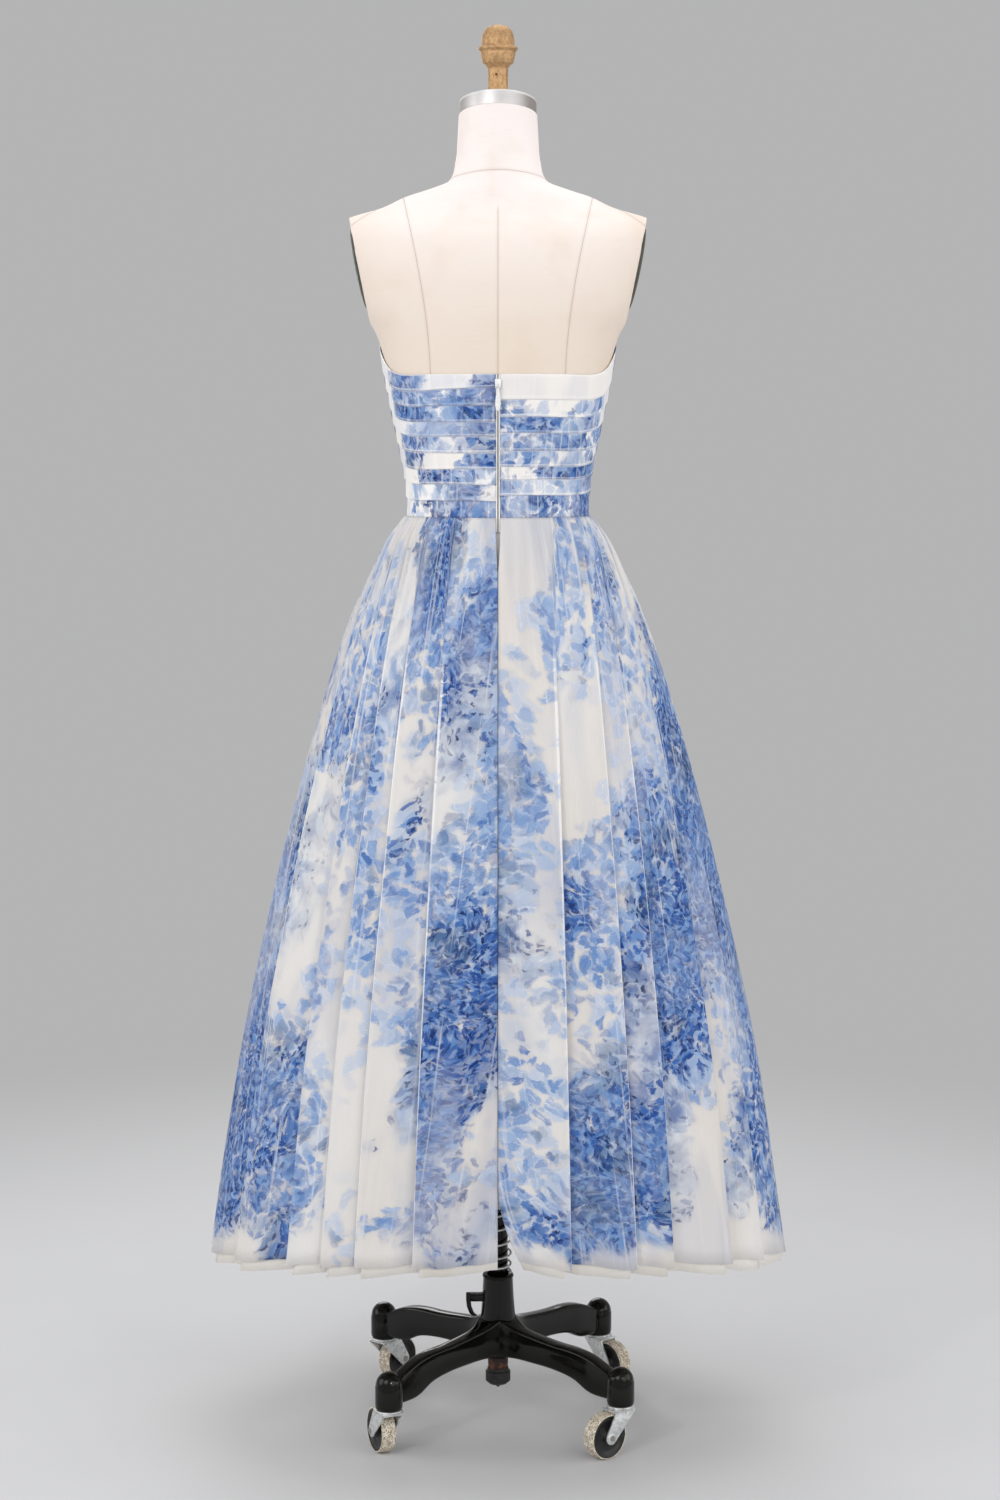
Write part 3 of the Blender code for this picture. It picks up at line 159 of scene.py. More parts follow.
printLook = {
    "seed": 3.7,
    "clusterSize": (3.7, 2.5),  # per metre, across and down the cloth
    "slant": 0.3,
    "wash": 0.455,  # how much of the cloth the softest layer covers: lower is more
    "white": tone(249, 247, 245), "cream": tone(244, 239, 234), "lavender": tone(210, 212, 224),
    "washBlue": tone(164, 188, 220), "washGrey": tone(180, 187, 206), "washDeep": tone(124, 156, 202),
    "core": tone(58, 100, 170), "veilShade": tone(204, 207, 220), "slate": (0.95, 0.82, 0.7),
    # petals per metre, size in its cell, width, lobes, cover, scatter, opacity, turn, dark, light
    "layers": [
        (46, 0.68, 1.15, 0.12, 0.47, 0.07, 0.62, 0.3, tone(134, 166, 210), tone(170, 190, 220)),
        (56, 0.66, 1.2, 0.15, 0.482, 0.08, 0.76, 1.1, tone(100, 140, 196), tone(140, 170, 210)),
        (68, 0.61, 1.25, 0.18, 0.497, 0.1, 0.9, 0.7, tone(60, 104, 172), tone(102, 142, 198)),
        (82, 0.57, 1.3, 0.22, 0.497, 0.12, 0.97, 0.2, tone(24, 68, 144), tone(56, 100, 172)),
        (104, 0.47, 1.5, 0.2, 0.51, 0.16, 0.97, 0.9, tone(10, 36, 94), tone(28, 70, 142)),
        (82, 0.42, 1.5, 0.2, 0.565, 0.28, 0.3, 0.5, tone(206, 216, 232), tone(168, 188, 216)),
    ],
}


def printedCloth(name, sheer, busy=1):
    p = Paint(name)
    look = printLook
    white, seed, (wide, tall) = look["white"], look["seed"], look["clusterSize"]
    uv = p.node("UVMap", {"uv_map": "cloth"})
    show = p.attribute("printShow")
    edge = p.attribute("foldEdge")
    shown = p.rise(show, 0.05, 0.3)
    bias = 0.2 * (show - 0.5)

    def bend(place, scale, depth):
        drift = p.vector("SUBTRACT", p.noise(place, scale, 2, 0.55, output=1), (0.5, 0.5, 0.5))
        return p.vector("ADD", place, p.vector("MULTIPLY", drift, (depth, depth, 0)))

    bent = bend(bend(uv, 14, 0.05), 95, 0.011)

    def cluster(place, depth):
        across, down, _ = p.parts(place)
        across = (across + down * look["slant"]) * wide + seed
        moved = p.node("CombineXYZ", None, {0: across, 1: down * tall + seed * 2.3, 2: depth})
        return p.noise(moved, busy, 3.4, 0.56)

    # Bare cloth: white and cream, with lavender patches of painted fold shade where it lies double, and fine upright
    # streaks
    streaks = p.stretched(uv, (240, 4, 1), 3, 0.6)
    colour = p.coats(
        look["cream"], (p.stretched(uv, (7, 1.6, 1), 1), 0.38, 0.62, 1, white),
        (p.stretched(uv, (9, 1.7, 1)), 0.5, 0.66, 0.8, look["lavender"]), (streaks, 0.5, 0.74, 0.5, white),
    )

    # Watered washes behind the petals
    clouds = p.noise(bent, 34, 4, 0.62)
    ragged = cluster(bent, 0.4) + 0.12 * (clouds - 0.5) + bias
    wash = p.rise(ragged, look["wash"], look["wash"] + 0.08) * shown
    washColour = p.coats(
        look["washBlue"], (clouds, 0.42, 0.58, 1, look["washGrey"]),
        (ragged, 0.5, 0.6, 0.8, look["washDeep"]), (ragged, 0.515, 0.575, 0.85, look["core"]),
    )
    colour = p.mix(wash * p.rise(clouds, 0.2, 0.6) * 0.85, colour, washColour)

    inked, petalled = wash * 0.4, 0
    # Some drifts are printed full, others are faint and watery, and some lean towards grey
    full = 0.52 + 0.48 * p.rise(p.noise(bent, 8.5), 0.4, 0.6)
    slate = p.rise(p.noise(p.vector("ADD", bent, (3, 7, 0)), 11, 3, 0.6), 0.5, 0.64)
    backed = p.rise(ragged, 0.455, 0.49)
    grain = p.noise(uv, 380, 3, 0.6)
    for k, (count, size, width, lobes, cover, scatter, opacity, turn, dark, light) in enumerate(look["layers"]):
        moved, scales = (k * 3.1, k * 1.7, 0), (count, count, 1)
        words = {"Vector": bent, "Location": moved, "Rotation": (0, 0, turn), "Scale": scales}
        spot = p.node("Mapping", {"vector_type": "POINT"}, words)
        words = {"voronoi_dimensions": "2D", "feature": "F1"}
        near = p.node("TexVoronoi", words, {"Vector": spot, "Scale": 1, "Randomness": 1})
        centre = p.also(near, "Position")
        chance, blush, spin = p.parts(p.also(near, "Color"))
        # From the petal's centre, along and across it
        x, y, _ = p.parts(p.vector("SUBTRACT", spot, centre))
        cosine, sine = p.maths("COSINE", spin * 6.28), p.maths("SINE", spin * 6.28)
        along, across = x * cosine + y * sine, (y * cosine - x * sine) * width
        reach = p.maths("SQRT", along * along + across * across)
        scallops = p.maths("SINE", p.maths("ARCTAN2", across, along) * 3 + blush * 20)
        strokes = p.node("CombineXYZ", None, {0: along * 1.6, 1: across * 6, 2: blush * 30})
        strokes = p.noise(strokes, 1, 2, 0.6)
        reach = reach + scallops * (lobes * size) + (grain - 0.5) * 0.44
        # Back from the centre to the cloth, so that a whole petal is either there or not
        home = p.vector("DIVIDE", p.vector("SUBTRACT", centre, moved), scales)
        home = p.node("VectorRotate", {"rotation_type": "Z_AXIS"}, {"Vector": home, "Angle": -turn})
        thick = cluster(home, 0.08 * k) + scatter * (chance - 0.5) + bias
        mask = p.rise(thick, cover - 0.016, cover + 0.03) * p.rise(reach, size, size - 0.27) * shown
        if k > 1:
            mask = mask * full
        if k > 2:  # the darkest ones only where there is a wash behind them
            mask = mask * backed
        petal = p.mix(p.rise(blush * 0.5 + strokes, 0.55, 0.95), dark, light)
        rimmed = p.mix(1, petal, dark, "MULTIPLY")
        petal = p.coats(petal, (reach, size - 0.2, size - 0.04, 0.42, rimmed))
        colour = p.mix(mask * opacity * p.rise(strokes, 0.18, 0.48), colour, petal)
        inked = p.maths("MAXIMUM", inked, mask * opacity)
        if k > 0:
            petalled = p.maths("MAXIMUM", petalled, mask)

    colour = p.mix(petalled * slate * 0.95, colour, p.mix(1, colour, look["slate"], "MULTIPLY"))
    # A thin veil of painted grey-lavender shade over some folds, and a painted highlight on the turned edge of a fold,
    # which lies double
    creases = p.rise(p.size(p.stretched(uv, (24, 0.9, 1), 1) - 0.5), 0.022, 0)
    colour = p.mix(creases * p.rise(streaks, 0.4, 0.62) * 0.4, colour, white)
    # Painted grey-lavender shade over some folds
    colour = p.coats(colour, (p.stretched(uv, (13, 2.6, 1), 1), 0.54, 0.62, 0.28, look["veilShade"]))
    # Painted highlight along the turned fold edges, stronger in some places than others
    wearAndHighlight = 0.35 + 0.65 * p.rise(p.stretched(uv, (3, 7, 1)), 0.38, 0.58)
    colour = p.mix(p.rise(edge, 0.45, 0.95) * wearAndHighlight * 0.75, colour, white)
    words = {"voronoi_dimensions": "2D", "feature": "DISTANCE_TO_EDGE"}
    net = p.rise(p.node("TexVoronoi", words, {"Vector": uv, "Scale": 620}), 0.02, 0.1)
    height = streaks * 0.75 + creases * 0.5 + net * 0.05 + grain * 0.04
    alpha = p.maths("MINIMUM", sheer + 0.45 * inked + 0.3 * edge, 1) if sheer else 1
    return p.set(
        colour=colour, alpha=alpha, roughness=0.62 + 0.18 * streaks, normal=p.bump(height, 0.0009, 0.45),
        sheen=0.12, sheenRoughness=0.4, specular=0.2,
    )


def plainCloth(name, base, shade, alpha=1):
    p = Paint(name)
    uv = p.node("UVMap", {"uv_map": "cloth"})
    streaks = p.stretched(uv, (170, 6, 1), 3, 0.6)
    patches = p.stretched(uv, (9, 4, 1))
    colour = p.mix(p.rise(patches, 0.35, 0.65), base, shade)
    colour = p.coats(colour, (streaks, 0.5, 0.75, 0.4, tone(255, 252, 248)))
    height = streaks * 0.6 + (p.bands(uv, "X", 900) + p.bands(uv, "Y", 900)) * 0.06
    return p.set(
        colour=colour, roughness=0.66 + 0.12 * streaks, alpha=alpha,
        normal=p.bump(height, 0.0008, 0.5), sheen=0.2, sheenRoughness=0.5, specular=0.3,
    )


# Folded skirts

skirt = {
    "waist": 1.183,
    "hem": 0.236,
    # height, half-width, half-depth, gathers, long folds
    "sections": [
        (1.1845, 0.1206, 0.0922, 0.0007, 0),
        (1.155, 0.1418, 0.1114, 0.0022, 0),
        (1.115, 0.1615, 0.1297, 0.0026, 0.07),
        (1.045, 0.194, 0.1559, 0.001, 0.28),
        (0.92, 0.235, 0.1868, 0, 0.61),
        (0.76, 0.2785, 0.2155, 0, 0.88),
        (0.5, 0.3375, 0.25, 0, 1),
        (0.236, 0.378, 0.272, 0, 1),
    ],
    # hem angle, waist angle, how far the cloth turns back under the edge, depth, columns
    "rightFolds": [
        (13.9, 34, 1.9, 0.018, 8), (27.1, 55, 1.6, 0.015, 7), (35.4, 69, 1.4, 0.012, 5),
        (51.5, 84, 1.7, 0.0155, 6), (64, 98, 1.8, 0.0135, 5), (80, 111, 1.9, 0.0135, 6),
        (99, 125, 1.9, 0.0145, 6), (119, 140, 1.8, 0.015, 5), (138, 153, 1.7, 0.015, 5),
        (160, 166, 1.7, 0.016, 5),
    ],
    "leftFolds": [
        (16.2, 27, 1.9, 0.018, 8), (28, 45, 1.6, 0.0145, 6), (35.8, 57, 1.4, 0.012, 5),
        (44.5, 69, 1.4, 0.013, 5), (62.5, 88, 1.7, 0.0155, 6), (79, 104, 1.9, 0.014, 6),
        (97, 120, 1.9, 0.014, 6), (116, 136, 1.8, 0.015, 5), (137, 151, 1.7, 0.0155, 5),
        (158, 165, 1.7, 0.016, 5),
    ],
    "frontColumns": 7,
    "turnIn": 0.22,
    "belly": 1.5,
    "backRise": 0.042,  # the hem hangs higher at the centre back
    "foldDrop": 0.006,
    "slitHeight": 0.085,
    "slitWidth": 0.026,
    "sidePanel": 6,  # the side seams lie in this panel
    "hidden": 0.085,  # cloth that is folded away behind each edge
    "turnedBack": 0.02,  # the part of it that is cut
    "flare": 0.2,
    "cutShare": 0.78,  # of the flat size, for a flared panel
    "hemAllowance": 0.03,
    "zipOpening": (1.115, 0.04, 0.0025),  # where the back begins to open for the zip, over what height, how wide
    "ragged": 0.0035,  # how unevenly the hem hangs
    "rowSpread": 1.35,  # above 1 the rows lie closer together near the waist
    "printEnds": (0.006, 0.16, 0.055),  # how far above the hem the print ends, how unevenly, how softly
    # small creases: across, down, where, depth
    "creases": [(0.9, 2.2, 4, 0.0011), (2.9, 4.5, 9, 0.00035), (0.35, 5, 1, 0.0014)],
}

metresPerDegree = 0.0057  # of cloth, for each degree of turn at the hem


def clamp(value):
    return min(1, max(0, value))


def describe(piece, body, slot, *nodes):
    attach(piece, body)
    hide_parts(*nodes)


def readTable(table, z):  # a smooth curve through a table's rows
    last = len(table) - 1
    way = 1 if table[-1][0] > table[0][0] else -1
    k = 0
    while k < last - 1 and (z - table[k + 1][0]) * way > 0:
        k += 1
    a, b = table[k], table[k + 1]
    before, after = table[max(k - 1, 0)], table[min(k + 2, last)]
    span = b[0] - a[0]
    t = (z - a[0]) / span
    values = []
    for c in range(1, len(a)):
        m0 = (b[c] - before[c]) / (b[0] - before[0]) * span
        m1 = (after[c] - a[c]) / (after[0] - a[0]) * span
        values.append(
            (2 * t**3 - 3 * t**2 + 1) * a[c] + (t**3 - 2 * t**2 + t) * m0
            + (3 * t**2 - 2 * t**3) * b[c] + (t**3 - t**2) * m1
        )
    return values


def halfStations(folds, mirrored, fine):
    # Points across the cloth: hem angle, waist angle, lift, tuck, column, panel, edge light, cloth width
    stations = []
    hemStart = waistStart = column = width = 0
    hidden = skirt["hidden"] / metresPerDegree
    for panel, (hemEnd, waistEnd, back, depth, count) in enumerate(folds):
        def waistAt(place):
            return waistStart + (waistEnd - waistStart) * (place + 0.5) / count

        def add(hem, waist, lift, tuck, place, light, cloth):
            stations.append([hem, waist, lift, tuck, column + place, panel, light, width + cloth])

        crest = hemStart + (hemEnd - hemStart) * 0.985
        turned = skirt["turnIn"] * depth
        following = folds[panel + 1] if panel + 1 < len(folds) else (0, waistEnd, 0, depth, 1)
        steps = (count - 2) * fine
        for i in range(steps + 1):
            share = i / fine / (count - 2)
            lift = -((1 - share) ** skirt["belly"]) * depth
            across, light = (crest - hemStart) * share, 0.25 if i == steps else 0
            add(hemStart + across, waistAt(i / fine), lift, 1 if panel else share, i / fine, light, across)
        width += crest - hemStart
        for i in range(1, fine + 1):  # round the edge
            q = i / fine
            hem = crest + (hemEnd - crest) * math.sin(q * math.pi / 2)
            lift = -turned * (1 - math.cos(q * math.pi / 2))
            add(hem, waistAt(count - 2 + q), lift, 1, count - 2 + q, 1, q * 0.5)
        width += 0.5
        waistLast = waistAt(count - 1)
        waistNext = waistEnd + (following[1] - waistEnd) * 0.5 / following[4]
        for i in range(1, fine):  # back under it
            q = i / fine
            lift = -(turned + (following[3] - turned) * q)
            add(hemEnd - back * q, waistLast + (waistNext - waistLast) * q, lift, 1, count - 1 + q, 1 - q, q * hidden)
        width += hidden
        column += count
        hemStart, waistStart = hemEnd - back, waistEnd
    stations[0][0] = stations[0][1] = 0
    if mirrored:
        for s in stations:
            s[0], s[1], s[3] = 360 - s[0], 360 - s[1], -s[3]
        stations.reverse()
    return stations, column, width


def clothStations(fine):
    right, rightCount, rightWidth = halfStations(skirt["rightFolds"], False, fine)
    left, leftCount, leftWidth = halfStations(skirt["leftFolds"], True, fine)
    lastRight, lastLeft = skirt["rightFolds"][-1], skirt["leftFolds"][-1]
    hemStart, waistStart = lastRight[0] - lastRight[2], lastRight[1]
    hemSpan = 360 - lastLeft[0] + lastLeft[2] - hemStart
    waistSpan = 360 - lastLeft[1] - waistStart
    depth = (lastRight[3] + lastLeft[3]) / 2
    count, middle = skirt["frontColumns"], []
    for i in range((count - 1) * fine + 1):
        k = i / fine
        share = k / (count - 1)
        hem = hemStart + hemSpan * share
        waist = waistStart + waistSpan * (k + 0.5) / count
        lift = -(abs(2 * share - 1) ** skirt["belly"]) * depth
        middle.append([hem, waist, lift, 1 - 2 * share, rightCount + k, 10, 0, rightWidth + hem - hemStart])
    total = rightWidth + hemSpan + leftWidth
    for s in left:
        s[4] = rightCount + count + leftCount - s[4]
        s[7] = total - s[7]
    return right + middle + left


def skirtPoint(section, z, station, shape):
    halfWidth, halfDepth, gather, fold = section
    hem, waist, lift, tuckSide, column = station[:5]
    widest, narrowest = skirt["sections"][-1][1], skirt["sections"][0][1]
    share = (1 / halfWidth - 1 / widest) / (1 / narrowest - 1 / widest)
    angle = math.radians(hem + (waist - hem) * share)
    sine, cosine = math.sin(angle), math.cos(angle)
    radial = Vector((sine / halfWidth, -cosine / halfDepth, 0)).normalized()
    tangent = Vector((-radial.y, radial.x, 0))
    wave = gather * math.cos(math.pi * column) if shape["gathers"] else -gather
    near, far = shape["inset"]
    out = lift * fold + wave - near - (far - near) * fold
    # Small creases, the same on the layers that lie together
    crease = 0
    for across, down, where, depth in skirt["creases"]:
        crease += noise.noise(Vector((column * across, z * down, where))) * depth
    out += crease * min(1, (skirt["waist"] - z) * 6) * shape["creases"]
    point = Vector((halfWidth * sine, -halfDepth * cosine, 0)) + radial * out
    point -= tangent * (shape["tuck"] * tuckSide * fold)
    hang = ((skirt["waist"] - z) / (skirt["waist"] - skirt["hem"])) ** 2
    crest = 1 - min(1, abs(lift) / 0.015)
    rise = skirt["backRise"] * max(cosine, 0) ** 1.5 - skirt["foldDrop"] * crest - shape["drop"]
    ragged = noise.noise(Vector((column * 0.45, 2, shape["drop"] * 90))) * skirt["ragged"]
    point.z = z + hang * (rise + ragged)
    firstFold = skirt["rightFolds"][0][0]
    if shape["curl"] and hem <= firstFold:  # the lower back corner curls aside
        top = skirt["hem"] + skirt["backRise"] + skirt["slitHeight"]
        depth = min(1.2, max(0, (top - point.z) / skirt["slitHeight"]))
        point.x += skirt["slitWidth"] * depth**1.6 * (1 - hem / firstFold)
    return point


def wallInside(rows, wall, closed):  # the inner side, mitred at the folds
    inside = []
    count = len(rows[0])
    for j, row in enumerate(rows):
        above, below = rows[max(j - 1, 0)], rows[min(j + 1, len(rows) - 1)]
        moved = []
        for i, point in enumerate(row):
            up = above[i] - below[i]
            ahead = row[(i + 1) % count] if closed or i < count - 1 else 2 * point - row[i - 1]
            behind = row[i - 1] if closed or i > 0 else 2 * point - row[i + 1]
            before = (point - behind).cross(up).normalized()
            after = (ahead - point).cross(up).normalized()
            normal = (before + after).normalized()
            moved.append(point - normal * wall / max(normal.dot(before), 0.45))
        inside.append(moved)
    return inside


def meshPiece(name, bm):
    mesh = bpy.data.meshes.new(name)
    bm.to_mesh(mesh)
    bm.free()
    piece = bpy.data.objects.new(name, mesh)
    bpy.context.scene.collection.objects.link(piece)
    return piece


def makeSheet(name, outside, inside, cloth, finish, closed=False):
    # cloth gives (u, v, print, edge) for each point of the outer side
    bm = bmesh.new()
    uvLayer = bm.loops.layers.uv.new("cloth")
    showLayer = bm.verts.layers.float.new("printShow")
    edgeLayer = bm.verts.layers.float.new("foldEdge")
    count = len(outside[0])
    where = {}

    def addSide(rows):
        made = []
        for row, words in zip(rows, cloth):
            made.append([bm.verts.new(point) for point in row])
            for vert, (u, v, show, edge) in zip(made[-1], words):
                vert[showLayer], vert[edgeLayer] = show, edge
                where[vert] = (u, v)
        return made

    outer, inner = addSide(outside), addSide(inside)
    steps = [(i, (i + 1) % count) for i in range(count if closed else count - 1)]
    for side, flip in ((outer, False), (inner, True)):
        for upper, lower in zip(side, side[1:]):
            for i, k in steps:
                corners = (lower[i], lower[k], upper[k], upper[i])
                bm.faces.new(reversed(corners) if flip else corners).smooth = True
    for i, k in steps:
        bm.faces.new((outer[0][i], outer[0][k], inner[0][k], inner[0][i]))
        bm.faces.new((inner[-1][i], inner[-1][k], outer[-1][k], outer[-1][i]))
    if not closed:
        for a, b, c, d in zip(outer, outer[1:], inner, inner[1:]):
            bm.faces.new((b[0], a[0], c[0], d[0]))
            bm.faces.new((a[-1], b[-1], d[-1], c[-1]))
    wrap = (where[outer[0][-1]][0] - where[outer[0][0]][0]) * count / (count - 1)
    for face in bm.faces:
        high = max(where[loop.vert][0] for loop in face.loops)
        for loop in face.loops:
            u, v = where[loop.vert]
            loop[uvLayer].uv = (u + wrap if closed and high - u > wrap / 2 else u, v)
    piece = meshPiece(name, bm)
    piece.data.materials.append(finish)
    return piece


def makeSkirt(layer):
    stations = clothStations(layer["fine"])
    top, bottom, waist, hem = skirt["sections"][0][0], skirt["sections"][-1][0], skirt["waist"], skirt["hem"]
    above, uneven, soft = skirt["printEnds"]
    opens, openHeight, openWidth = skirt["zipOpening"]
    rows, cloth = [], []
    for j in range(layer["rows"]):
        z = top + (bottom - top) * (j / (layer["rows"] - 1)) ** skirt["rowSpread"]
        section = readTable(skirt["sections"], z)
        rows.append([skirtPoint(section, z, s, layer) for s in stations])
        words = []
        for s in stations:
            # The print fades at the hem, and here and there it runs down to it
            fade = above - uneven * max(0, noise.noise(Vector((s[4] * 0.19, 5, 2))))
            show = 0.5 * clamp((z - hem - fade) / soft)
            words.append((s[7] * metresPerDegree, waist - z, show, s[6] * clamp((1.1 - z) * 8)))
        cloth.append(words)
    inside = wallInside(rows, layer["wall"], False)
    seam = [i for i, s in enumerate(stations) if s[5] == skirt["sidePanel"]]
    right = [i for i in seam if stations[i][0] < 180][2 * layer["fine"]]
    left = seam[-1 - 2 * layer["fine"]]
    cuts = (
        ("BackRight", "_back_right", 0, right + 1), ("Front", "_front", right, left + 1),
        ("BackLeft", "_back_left", left, len(stations)),
    )
    for ending, node, first, last in cuts:
        sides = []
        for side in (rows, inside):
            part = [[point.copy() for point in row[first:last]] for row in side]
            for row in part:
                if ending != "BackRight":
                    row[0] = row[0] + (row[1] - row[0]).normalized() * (seamGap / 2)
                if ending != "BackLeft":
                    row[-1] = row[-1] + (row[-2] - row[-1]).normalized() * (seamGap / 2)
                # The centre back opens for the foot of the zip
                opening = clamp((row[0].z - opens) / openHeight) * openWidth + seamGap
                if ending == "BackRight":
                    row[0].x = max(row[0].x, opening)
                if ending == "BackLeft":
                    row[-1].x = min(row[-1].x, -opening)
            sides.append(part)
        # A flared panel: the cloth narrows towards the waist
        start, end = cloth[0][first][0], cloth[0][last - 1][0]
        middle = (end + start) / 2
        words = []
        for row in cloth:
            flare = 1 - skirt["flare"] * (1 - row[0][1] / (waist - hem))
            words.append([(middle + (u - middle) * flare, *others) for u, *others in row[first:last]])
        piece = makeSheet(layer["name"] + ending, *sides, words, layer["finish"])
        describe(piece, "form", layer["slot"], layer["name"] + node)
        # Cut as a flared panel, without most of what each fold hides, and with a hem allowance
        folds = len({(s[5], s[0] > 180) for s in stations[first:last]})
        width = end - start - (skirt["hidden"] - skirt["turnedBack"]) * folds
        length = waist - hem + skirt["hemAllowance"]
        width * length * skirt["cutShare"]
        print("  ", piece.name, len(piece.data.polygons), "faces, cut", round(width, 3), round(length, 3))


# Finishes of the form, the metals and the base

def objectPaint(name):
    p = Paint(name)
    return p, p.node("TexCoord", None, None, 3)


def linen(name):
    p, place = objectPaint(name)
    x, y, z = p.parts(place)
    across = p.size(x)
    slubs = p.stretched(place, (60, 60, 600))
    mottle = p.noise(place, 9, 3, 0.6)
    # Lighter towards the top, a painted highlight, and more peach at the sides, painted side shade
    colour = p.coats(
        tone(239, 225, 211), (z, 1.38, 1.66, 1, tone(252, 243, 240)), (across, 0.1, 0.2, 0.4, tone(240, 220, 200)),
        (mottle, 0.45, 0.7, 0.35, tone(233, 212, 192)), (slubs, 0.6, 0.75, 0.12, tone(216, 196, 176)),
    )
    # Sewn lines, with painted shade in them: the middle, the panels beside it, the sides and the foot of the neck
    above = z - 1.3715
    climb = p.maths("POWER", p.maths("MAXIMUM", above / 0.2235, 0), 1.6)
    panel = 0.086 + 0.036 * climb + p.maths("MINIMUM", above, 0) * 0.16
    neck = z - (1.629 - 2 * x * x - 0.02 * p.rise(y, -0.02, 0.05))
    trunk = p.rise(neck, 0.0002, -0.0008)
    shade = groove = 0
    for line, keep in (
        (across, p.rise(z, 1.586, 1.572)), (p.size(across - panel), trunk),
        (p.size(y - 0.004), trunk), (p.size(neck), 1),
    ):
        shade = p.maths("MAXIMUM", shade, p.rise(line, 0.0007, 0.0002) * keep)
        groove = p.maths("MAXIMUM", groove, p.rise(line, 0.004, 0.0006) * keep)
    # Painted shade along the sewn lines, and a wider, fainter painted shade in their grooves
    colour = p.mix(shade * 0.42, colour, tone(160, 132, 114))
    colour = p.mix(groove * 0.1, colour, tone(190, 160, 140))
    puckers = p.stretched(place, (50, 50, 200))
    weave = p.bands(place, "X", 330, 0.6) + p.bands(place, "Z", 330, 0.6)
    height = weave * 0.16 + slubs * 0.2 - shade * 2 - groove * (0.8 + 0.8 * puckers)
    return p.set(
        colour=colour, roughness=0.78 + 0.12 * mottle, normal=p.bump(height, 0.0006, 0.5),
        sheen=0.12, sheenRoughness=0.5, specular=0.25,
    )


def brushedSteel(name):
    p, place = objectPaint(name)
    x, y, z = p.parts(place)
    brushed = p.stretched(place, (18, 18, 2600), 3, 0.7)
    # Darker, less metallic and rougher towards its sides in x: a painted dark reflection
    ends = p.rise(p.size(x + 0.006), 0.022, 0.05)
    colour = p.mix(brushed, tone(214, 210, 208), tone(248, 246, 245))
    colour = p.coats(colour, (p.noise(place, 40, 3, 0.6), 0.55, 0.75, 0.3, tone(176, 164, 156)))
    colour = p.mix(ends * 0.75, colour, tone(96, 84, 76))
    # A thin painted highlight along the top rim
    colour = p.coats(colour, (z + 0.238 * y, 1.723, 1.7234, 0.6, tone(246, 246, 246)))
    return p.set(
        colour=colour, metallic=0.6 - 0.4 * ends, roughness=0.28 + 0.16 * brushed + 0.3 * ends,
        normal=p.bump(brushed, 0.00008, 0.5),
    )


def agedBrass(name):
    p, place = objectPaint(name)
    blotches = p.noise(place, 210, 4, 0.65)
    specks = p.node("TexVoronoi", {"feature": "F1"}, {"Vector": place, "Scale": 420, "Randomness": 1})
    dirt = p.noise(place, 620, 3, 0.6)
    colour = p.coats(
        tone(206, 168, 122), (blotches, 0.35, 0.68, 1, tone(176, 138, 98)),
        (dirt, 0.55, 0.7, 0.6, tone(98, 72, 48)), (specks, 0.22, 0.1, 0.5, tone(240, 214, 166)),
    )
    return p.set(
        colour=colour, metallic=0.7 - 0.4 * p.rise(dirt, 0.5, 0.75), roughness=0.42 + 0.25 * blotches,
        normal=p.bump(dirt + blotches, 0.0003, 0.45),
    )


def blackEnamel(name):
    p, place = objectPaint(name)
    peel, pits, dust = p.noise(place, 210), p.noise(place, 900), p.noise(place, 22, 4, 0.65)
    _, _, up = p.parts(p.node("NewGeometry", None, None, 1))
    colour = p.coats(tone(12, 12, 8), (dust, 0.45, 0.8, 0.6, tone(22, 21, 16)))
    colour = p.mix(p.rise(up, 0.4, 1) * p.rise(dust, 0.52, 0.72) * 0.14, colour, tone(70, 68, 60))
    return p.set(
        colour=colour, roughness=0.05 + 0.1 * dust, coat=0.22 - 0.16 * dust, coatRoughness=0.03, specular=0.22,
        normal=p.bump(peel + pits * 0.15, 0.0005, 0.22),
    )


def zinc(name):
    p, place = objectPaint(name)
    flakes = p.node("TexVoronoi", {"feature": "F1"}, {"Vector": place, "Scale": 260}, 1)
    grime = p.noise(place, 90, 4, 0.6)
    colour = p.mix(p.parts(flakes)[0], tone(206, 208, 208), tone(236, 238, 238))
    colour = p.coats(
        colour, (grime, 0.54, 0.74, 0.6, tone(132, 126, 118)), (grime, 0.66, 0.78, 0.5, tone(128, 84, 54)),
    )
    return p.set(
        colour=colour, metallic=0.75 - 0.4 * p.rise(grime, 0.52, 0.75), roughness=0.26 + 0.26 * grime,
        normal=p.bump(grime, 0.0002, 0.4),
    )


def wornTread(name, dirt):
    p, place = objectPaint(name)
    wear, fine = p.noise(place, 160, 4, 0.7), p.noise(place, 620, 3, 0.65)
    colour = p.coats(
        tone(240, 232, 216), (wear, 0.4, 0.6, 1, tone(206, 190, 166)),
        (fine, 0.62 - dirt, 0.72 - dirt, 0.8, tone(80, 66, 56)),
        (p.noise(place, 60), 0.62, 0.72, 0.5, tone(134, 62, 50)),
    )
    return p.set(colour=colour, roughness=0.55 + 0.3 * wear, normal=p.bump(wear + fine * 0.4, 0.0007, 0.6))


def darkPlastic(name, base, wearAndHighlight, rough):
    p, place = objectPaint(name)
    scuffs = p.noise(place, 120, 5, 0.7)
    colour = p.coats(base, (scuffs, 0.45, 0.75, 1, wearAndHighlight))
    height = p.noise(place, 800) + scuffs
    return p.set(colour=colour, roughness=rough + 0.2 * scuffs, normal=p.bump(height, 0.0003, 0.35))


